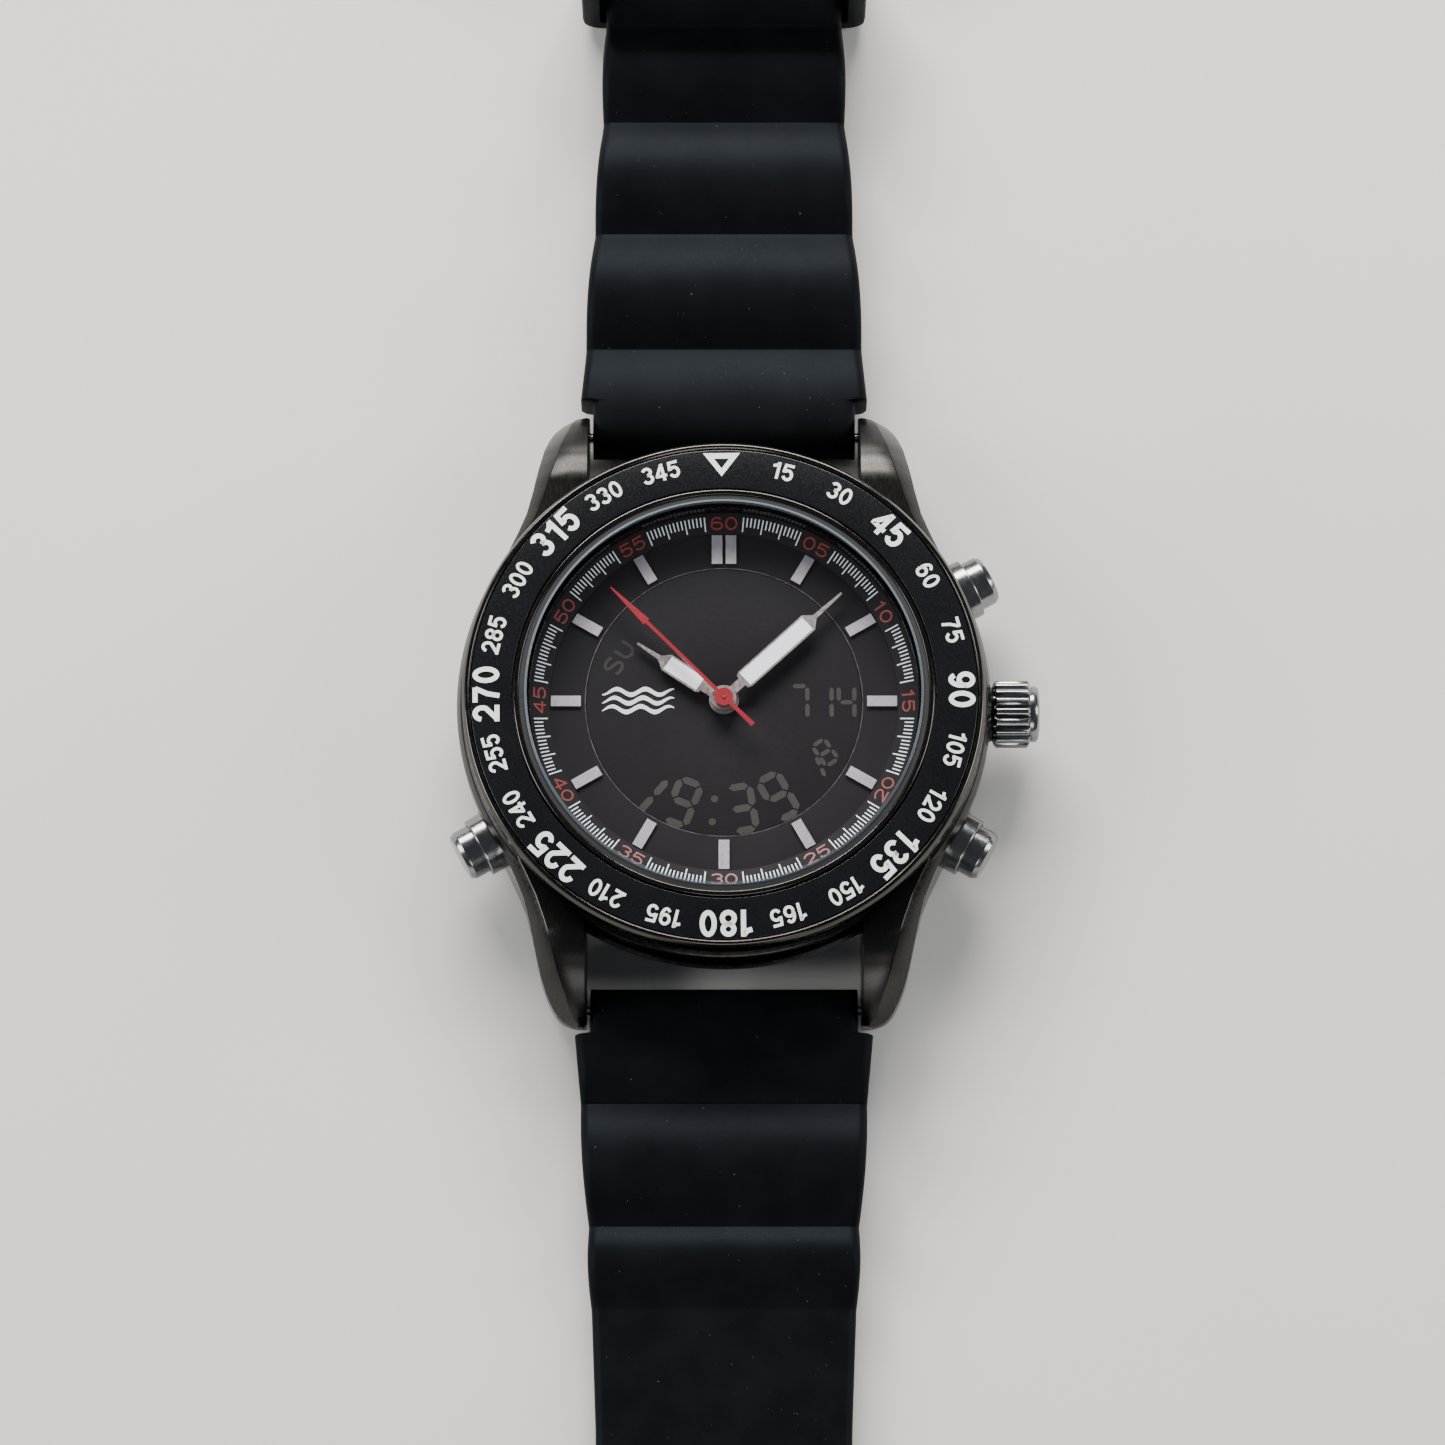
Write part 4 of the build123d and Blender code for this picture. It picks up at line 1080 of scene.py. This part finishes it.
def make_long_strap():
    """Hole-side strap: ribs near the case, then a smooth holed tail."""
    shape = Shape()
    floors = [(26.3, 0.75), (30.0, 0.02), (300, 0.02)]
    ceilings = [(31.9, 3.65), (41.8, 3.3), (48.4, 2.98), (300, STRAP_T - 0.02)]
    front = (28.6, 4.75, CREASES_6[0], 3.7)
    strap_body(shape, -1, CREASES_6, WIDTH_6, 26.2, 76.0, floors, ceilings, (1.75, 1.3, 0.3), front)
    piece = shape.build("long_strap", "strap_6", ["rubber"], 32)
    make_tail()
    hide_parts("strap_hole_side")


TAIL_START = 75.9
HOLES = [80.0 + 6.5 * k for k in range(9)]
HOLE_R = 1.4


def make_tail():
    """Smooth end of the long strap with its adjustment holes, built as a holed plate."""
    tip = TAIL_Y - SKIN
    half = 9.95
    outline = bow(0, tip - half * 0.9, half, half * 0.9, 0, 180, 24)
    outline += [(-half, TAIL_START), (half, TAIL_START)]
    curve = bpy.data.curves.new("tail", "CURVE")
    curve.dimensions = "2D"
    curve.fill_mode = "BOTH"
    curve.extrude = (STRAP_T / 2 - 0.32) * MM
    curve.bevel_depth = 0.3 * MM
    curve.bevel_resolution = 3
    for points in [outline] + [bow(0, y, HOLE_R, HOLE_R, 0, 345, 23) for y in HOLES]:
        spline = curve.splines.new("POLY")
        spline.points.add(len(points) - 1)
        for target, (x, y) in zip(spline.points, points):
            target.co = (x * MM * 0.97, -y * MM, 0, 1)
        spline.use_cyclic_u = True
    temp = linked("tail", curve)
    bpy.context.view_layer.update()
    mesh = bpy.data.meshes.new_from_object(temp)
    bpy.data.objects.remove(temp)
    verts = [(v.co.x / MM, v.co.y / MM, v.co.z / MM + STRAP_T / 2) for v in mesh.vertices]
    faces = [tuple(p.vertices) for p in mesh.polygons]
    shape = Shape(verts, faces)
    shape.build("long_strap_tail", "strap_6", ["rubber"], 40)


def make_keeper():
    """Rubber keeper loop with rounded corners."""
    y0 = low("keeper_loop")[1]
    half, y1, top = high("keeper_loop")
    wall = 1.6
    outer = rounded([(-half, 0.02, 1.6), (half, 0.02, 1.6), (half, top, 1.9), (-half, top, 1.9)], 6)
    hollow = half - wall
    roof = top - wall
    inner = rounded([(-hollow, wall, 0.5), (hollow, wall, 0.5), (hollow, roof, 0.8), (-hollow, roof, 0.8)], 6)

    def level(outline, y, grow):
        """Outline at a place along the strap, grown all round."""
        return [(x * (1 + grow / half), y, z - (grow if z < top / 2 else -grow)) for x, z in outline]

    rounding = [(0.0, -0.25), (0.12, -0.08), (0.4, 0.0)]
    rings = [level(outer, y0 + y, grow) for y, grow in rounding]
    rings += [level(outer, y1 - y, grow) for y, grow in reversed(rounding)]
    rings += [level(inner, y, grow) for y, grow in ((y1, 0.15), (y1 - 0.3, 0), (y0 + 0.3, 0), (y0, 0.15))]
    shape = Shape(*loft([list(reversed(ring)) for ring in rings], ring=True))
    piece = shape.build("keeper_band", "keeper", ["rubber"], 40)
    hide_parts("keeper_loop")


# ------ buckle
BUCKLE_DROOP = radians(8.8)


def droop(point):
    """Turns a point drawn level down about the buckle bar."""
    x, y, z = point
    dy = y - BUCKLE_Y
    dz = z - BUCKLE_Z
    return (x, BUCKLE_Y + dy * cos(BUCKLE_DROOP) + dz * sin(BUCKLE_DROOP),
            BUCKLE_Z - dy * sin(BUCKLE_DROOP) + dz * cos(BUCKLE_DROOP))


def make_buckle_frame():
    """U-shaped frame swept from a rounded bar section."""
    half = high("buckle_frame")[0] - 1.02
    end = BUCKLE_Y + 13.0 - 1.3
    start = BUCKLE_Y - 1.5
    turn = 2.2
    path = [(-half, start), (-half, start + 0.3)] + bow(turn - half, end - turn, turn, turn, 180, 90, 8)
    path += [(-x, y) for x, y in reversed(path)]
    sections = []
    for i, (x, y) in enumerate(path):
        before = path[max(0, i - 1)]
        after = path[min(len(path) - 1, i + 1)]
        along = Vector((after[0] - before[0], after[1] - before[1])).normalized()
        across = Vector((along.y, -along.x))
        wide = 1.0 + 0.3 * smooth((y - (end - 3)) / 3)
        bar = [(-wide, -1.22, 0.45), (wide, -1.22, 0.45), (wide, 1.22, 0.6), (-wide, 1.22, 0.6)]
        sections.append([
            droop((x + across.x * u, y + across.y * u, BUCKLE_Z + v)) for u, v in rounded(bar, 4)
        ])
    shape = Shape(*loft(sections))
    piece = shape.build("buckle_loop", "buckle", ["buckle"], 40)
    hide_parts("buckle_frame")


def make_tongue():
    """Tongue with a rolled eye and a curved, tapered blade."""
    shape = Shape()
    eye = rounded([(0.82, -1.78, 0.1), (1.34, -1.78, 0.2), (1.34, 1.78, 0.2), (0.82, 1.78, 0.1)], 3)
    turn = Matrix.Translation((0, BUCKLE_Y, BUCKLE_Z)) @ Matrix.Rotation(radians(90), 4, "Y")
    shape.add(*spin(eye, 40, turn))
    tip = BUCKLE_Y + 11.8
    sections = []
    for k in range(15):
        t = k / 14
        y = BUCKLE_Y + 0.7 + (tip - BUCKLE_Y - 0.7) * t
        height = BUCKLE_Z + 0.95 + 0.28 * sin(pi * t) + 0.12 * t
        wide = 0.94 - 0.25 * smooth((t - 0.75) / 0.25)
        thick = 0.4 - 0.14 * smooth((t - 0.8) / 0.2)
        corners = [(-wide, -thick, 0.15), (wide, -thick, 0.15), (wide, thick, 0.3), (-wide, thick, 0.3)]
        sections.append([droop((u, y, height + v)) for u, v in rounded(corners, 3)])
    shape.add(*loft([list(reversed(section)) for section in sections]))
    piece = shape.build("tongue_blade", "tongue", ["buckle"], 40)
    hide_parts("buckle_tongue")


# ------ carried-over CAD nodes
CARRIED = {
    "back": ["case_back"],
    "seal": ["case_back_gasket", "crystal_gasket", "crown_gasket", "lcd_connectors"],
    "steel": [
        "bezel_wire", "bezel_spring", "train_bridge", "battery", "battery_clip", "quartz_crystal",
        "motor_stator", "motor_rotor", "movement_screws", "crown_stem", "crown_tube", "setting_lever",
        "spring_bar_tubes", "spring_bar_pins", "buckle_bar",
    ],
    "brass": [
        "main_plate", "intermediate_wheel", "seconds_wheel", "third_wheel", "centre_wheel", "minute_wheel",
        "hour_wheel",
    ],
    "copper": ["motor_coil"],
    "board": ["circuit_board"],
    "plastic": ["movement_ring"],
    "bars": ["dial_indices"],
    "hand": ["hour_hand", "minute_hand"],
    "lume": ["hour_hand_lume", "minute_hand_lume"],
    "second": ["second_hand"],
}
SOFT_EDGES = {
    "case_back": 0.06, "dial_indices": 0.05, "battery": 0.1, "hour_hand": 0.03, "minute_hand": 0.03,
    "hour_hand_lume": 0.02, "minute_hand_lume": 0.02, "second_hand": 0.025,
}


def dress_carried():
    """Materials for every CAD node that stays shown."""
    for key, nodes in CARRIED.items():
        for node in nodes:
            repaint(node, key, SOFT_EDGES.get(node, 0))
    for name in PUSHERS:
        repaint(name + "_clip", "steel")


# ------ stage, light, camera
def area_light(name, place, size, power, colour=(1, 1, 1)):
    """Rectangular soft light that faces the watch, in metres."""
    data = bpy.data.lights.new(name, "AREA")
    data.shape = "RECTANGLE"
    data.size = size[0]
    data.size_y = size[1]
    data.energy = power
    data.color = colour
    light = linked(name, data)
    light.location = place
    light.rotation_euler = (-Vector(place)).to_track_quat("-Z", "Y").to_euler()


def make_stage():
    """Pale floor, soft lights and a dim even sky."""
    shader = Shader("floor_paper")
    fibre = shader.noise(0.6, 4)
    shader.set(
        Base_Color=shader.colour(shader.noise(60, 3), (0.66, 0.65, 0.63), (0.7, 0.69, 0.67)),
        Roughness=0.85,
        Normal=shader.bump(fibre, 0.01, 0.4),
    )
    mesh = bpy.data.meshes.new("floor")
    reach = 2.0
    corners = [(-reach, -reach, 0), (reach, -reach, 0), (reach, reach, 0), (-reach, reach, 0)]
    mesh.from_pydata(corners, [], [(0, 1, 2, 3)])
    mesh.materials.append(shader.material)
    floor = linked("floor", mesh)
    floor.location = (0, 0, -0.00005)
    area_light("key", (-0.06, 0.56, 0.36), (0.6, 0.24), 12.0, (1.0, 0.98, 0.95))
    area_light("left", (-0.6, -0.02, 0.36), (0.3, 0.4), 3.6)
    area_light("right", (0.6, 0.05, 0.34), (0.25, 0.4), 2.6)
    area_light("front", (0.05, -0.62, 0.34), (0.4, 0.2), 1.5)
    world = bpy.data.worlds.new("studio")
    world.use_nodes = True
    background = world.node_tree.nodes["Background"]
    background.inputs["Color"].default_value = (0.75, 0.8, 0.9, 1)
    background.inputs["Strength"].default_value = 0.14
    bpy.context.scene.world = world


CAMERA_DISTANCE = 520.0
CAMERA_TILT = 15.2
VIEW_WIDTH = 116.0
AIM = (-0.12, -1.74, 8.6)


def make_camera():
    """Camera a little towards 6 o'clock from straight above the dial."""
    data = bpy.data.cameras.new("camera")
    data.sensor_width = 36.0
    data.lens = 36.0 * CAMERA_DISTANCE / VIEW_WIDTH
    data.clip_start = 0.01
    data.clip_end = 10.0
    camera = linked("camera", data)
    away = Vector((0, -sin(radians(CAMERA_TILT)), cos(radians(CAMERA_TILT)))) * CAMERA_DISTANCE
    camera.location = (Vector(AIM) + away) * MM
    camera.rotation_euler = (radians(CAMERA_TILT), 0, 0)
    bpy.context.scene.camera = camera


make_camera()
make_stage()
make_case()
make_crystal()
make_bezel()
make_insert()
make_insert_print()
make_dial()
make_minute_ring()
make_minute_print()
make_display()
make_display_print()
make_emblem()
make_crown()
make_pushers()
make_short_strap()
make_long_strap()
make_keeper()
make_buckle_frame()
make_tongue()
dress_carried()
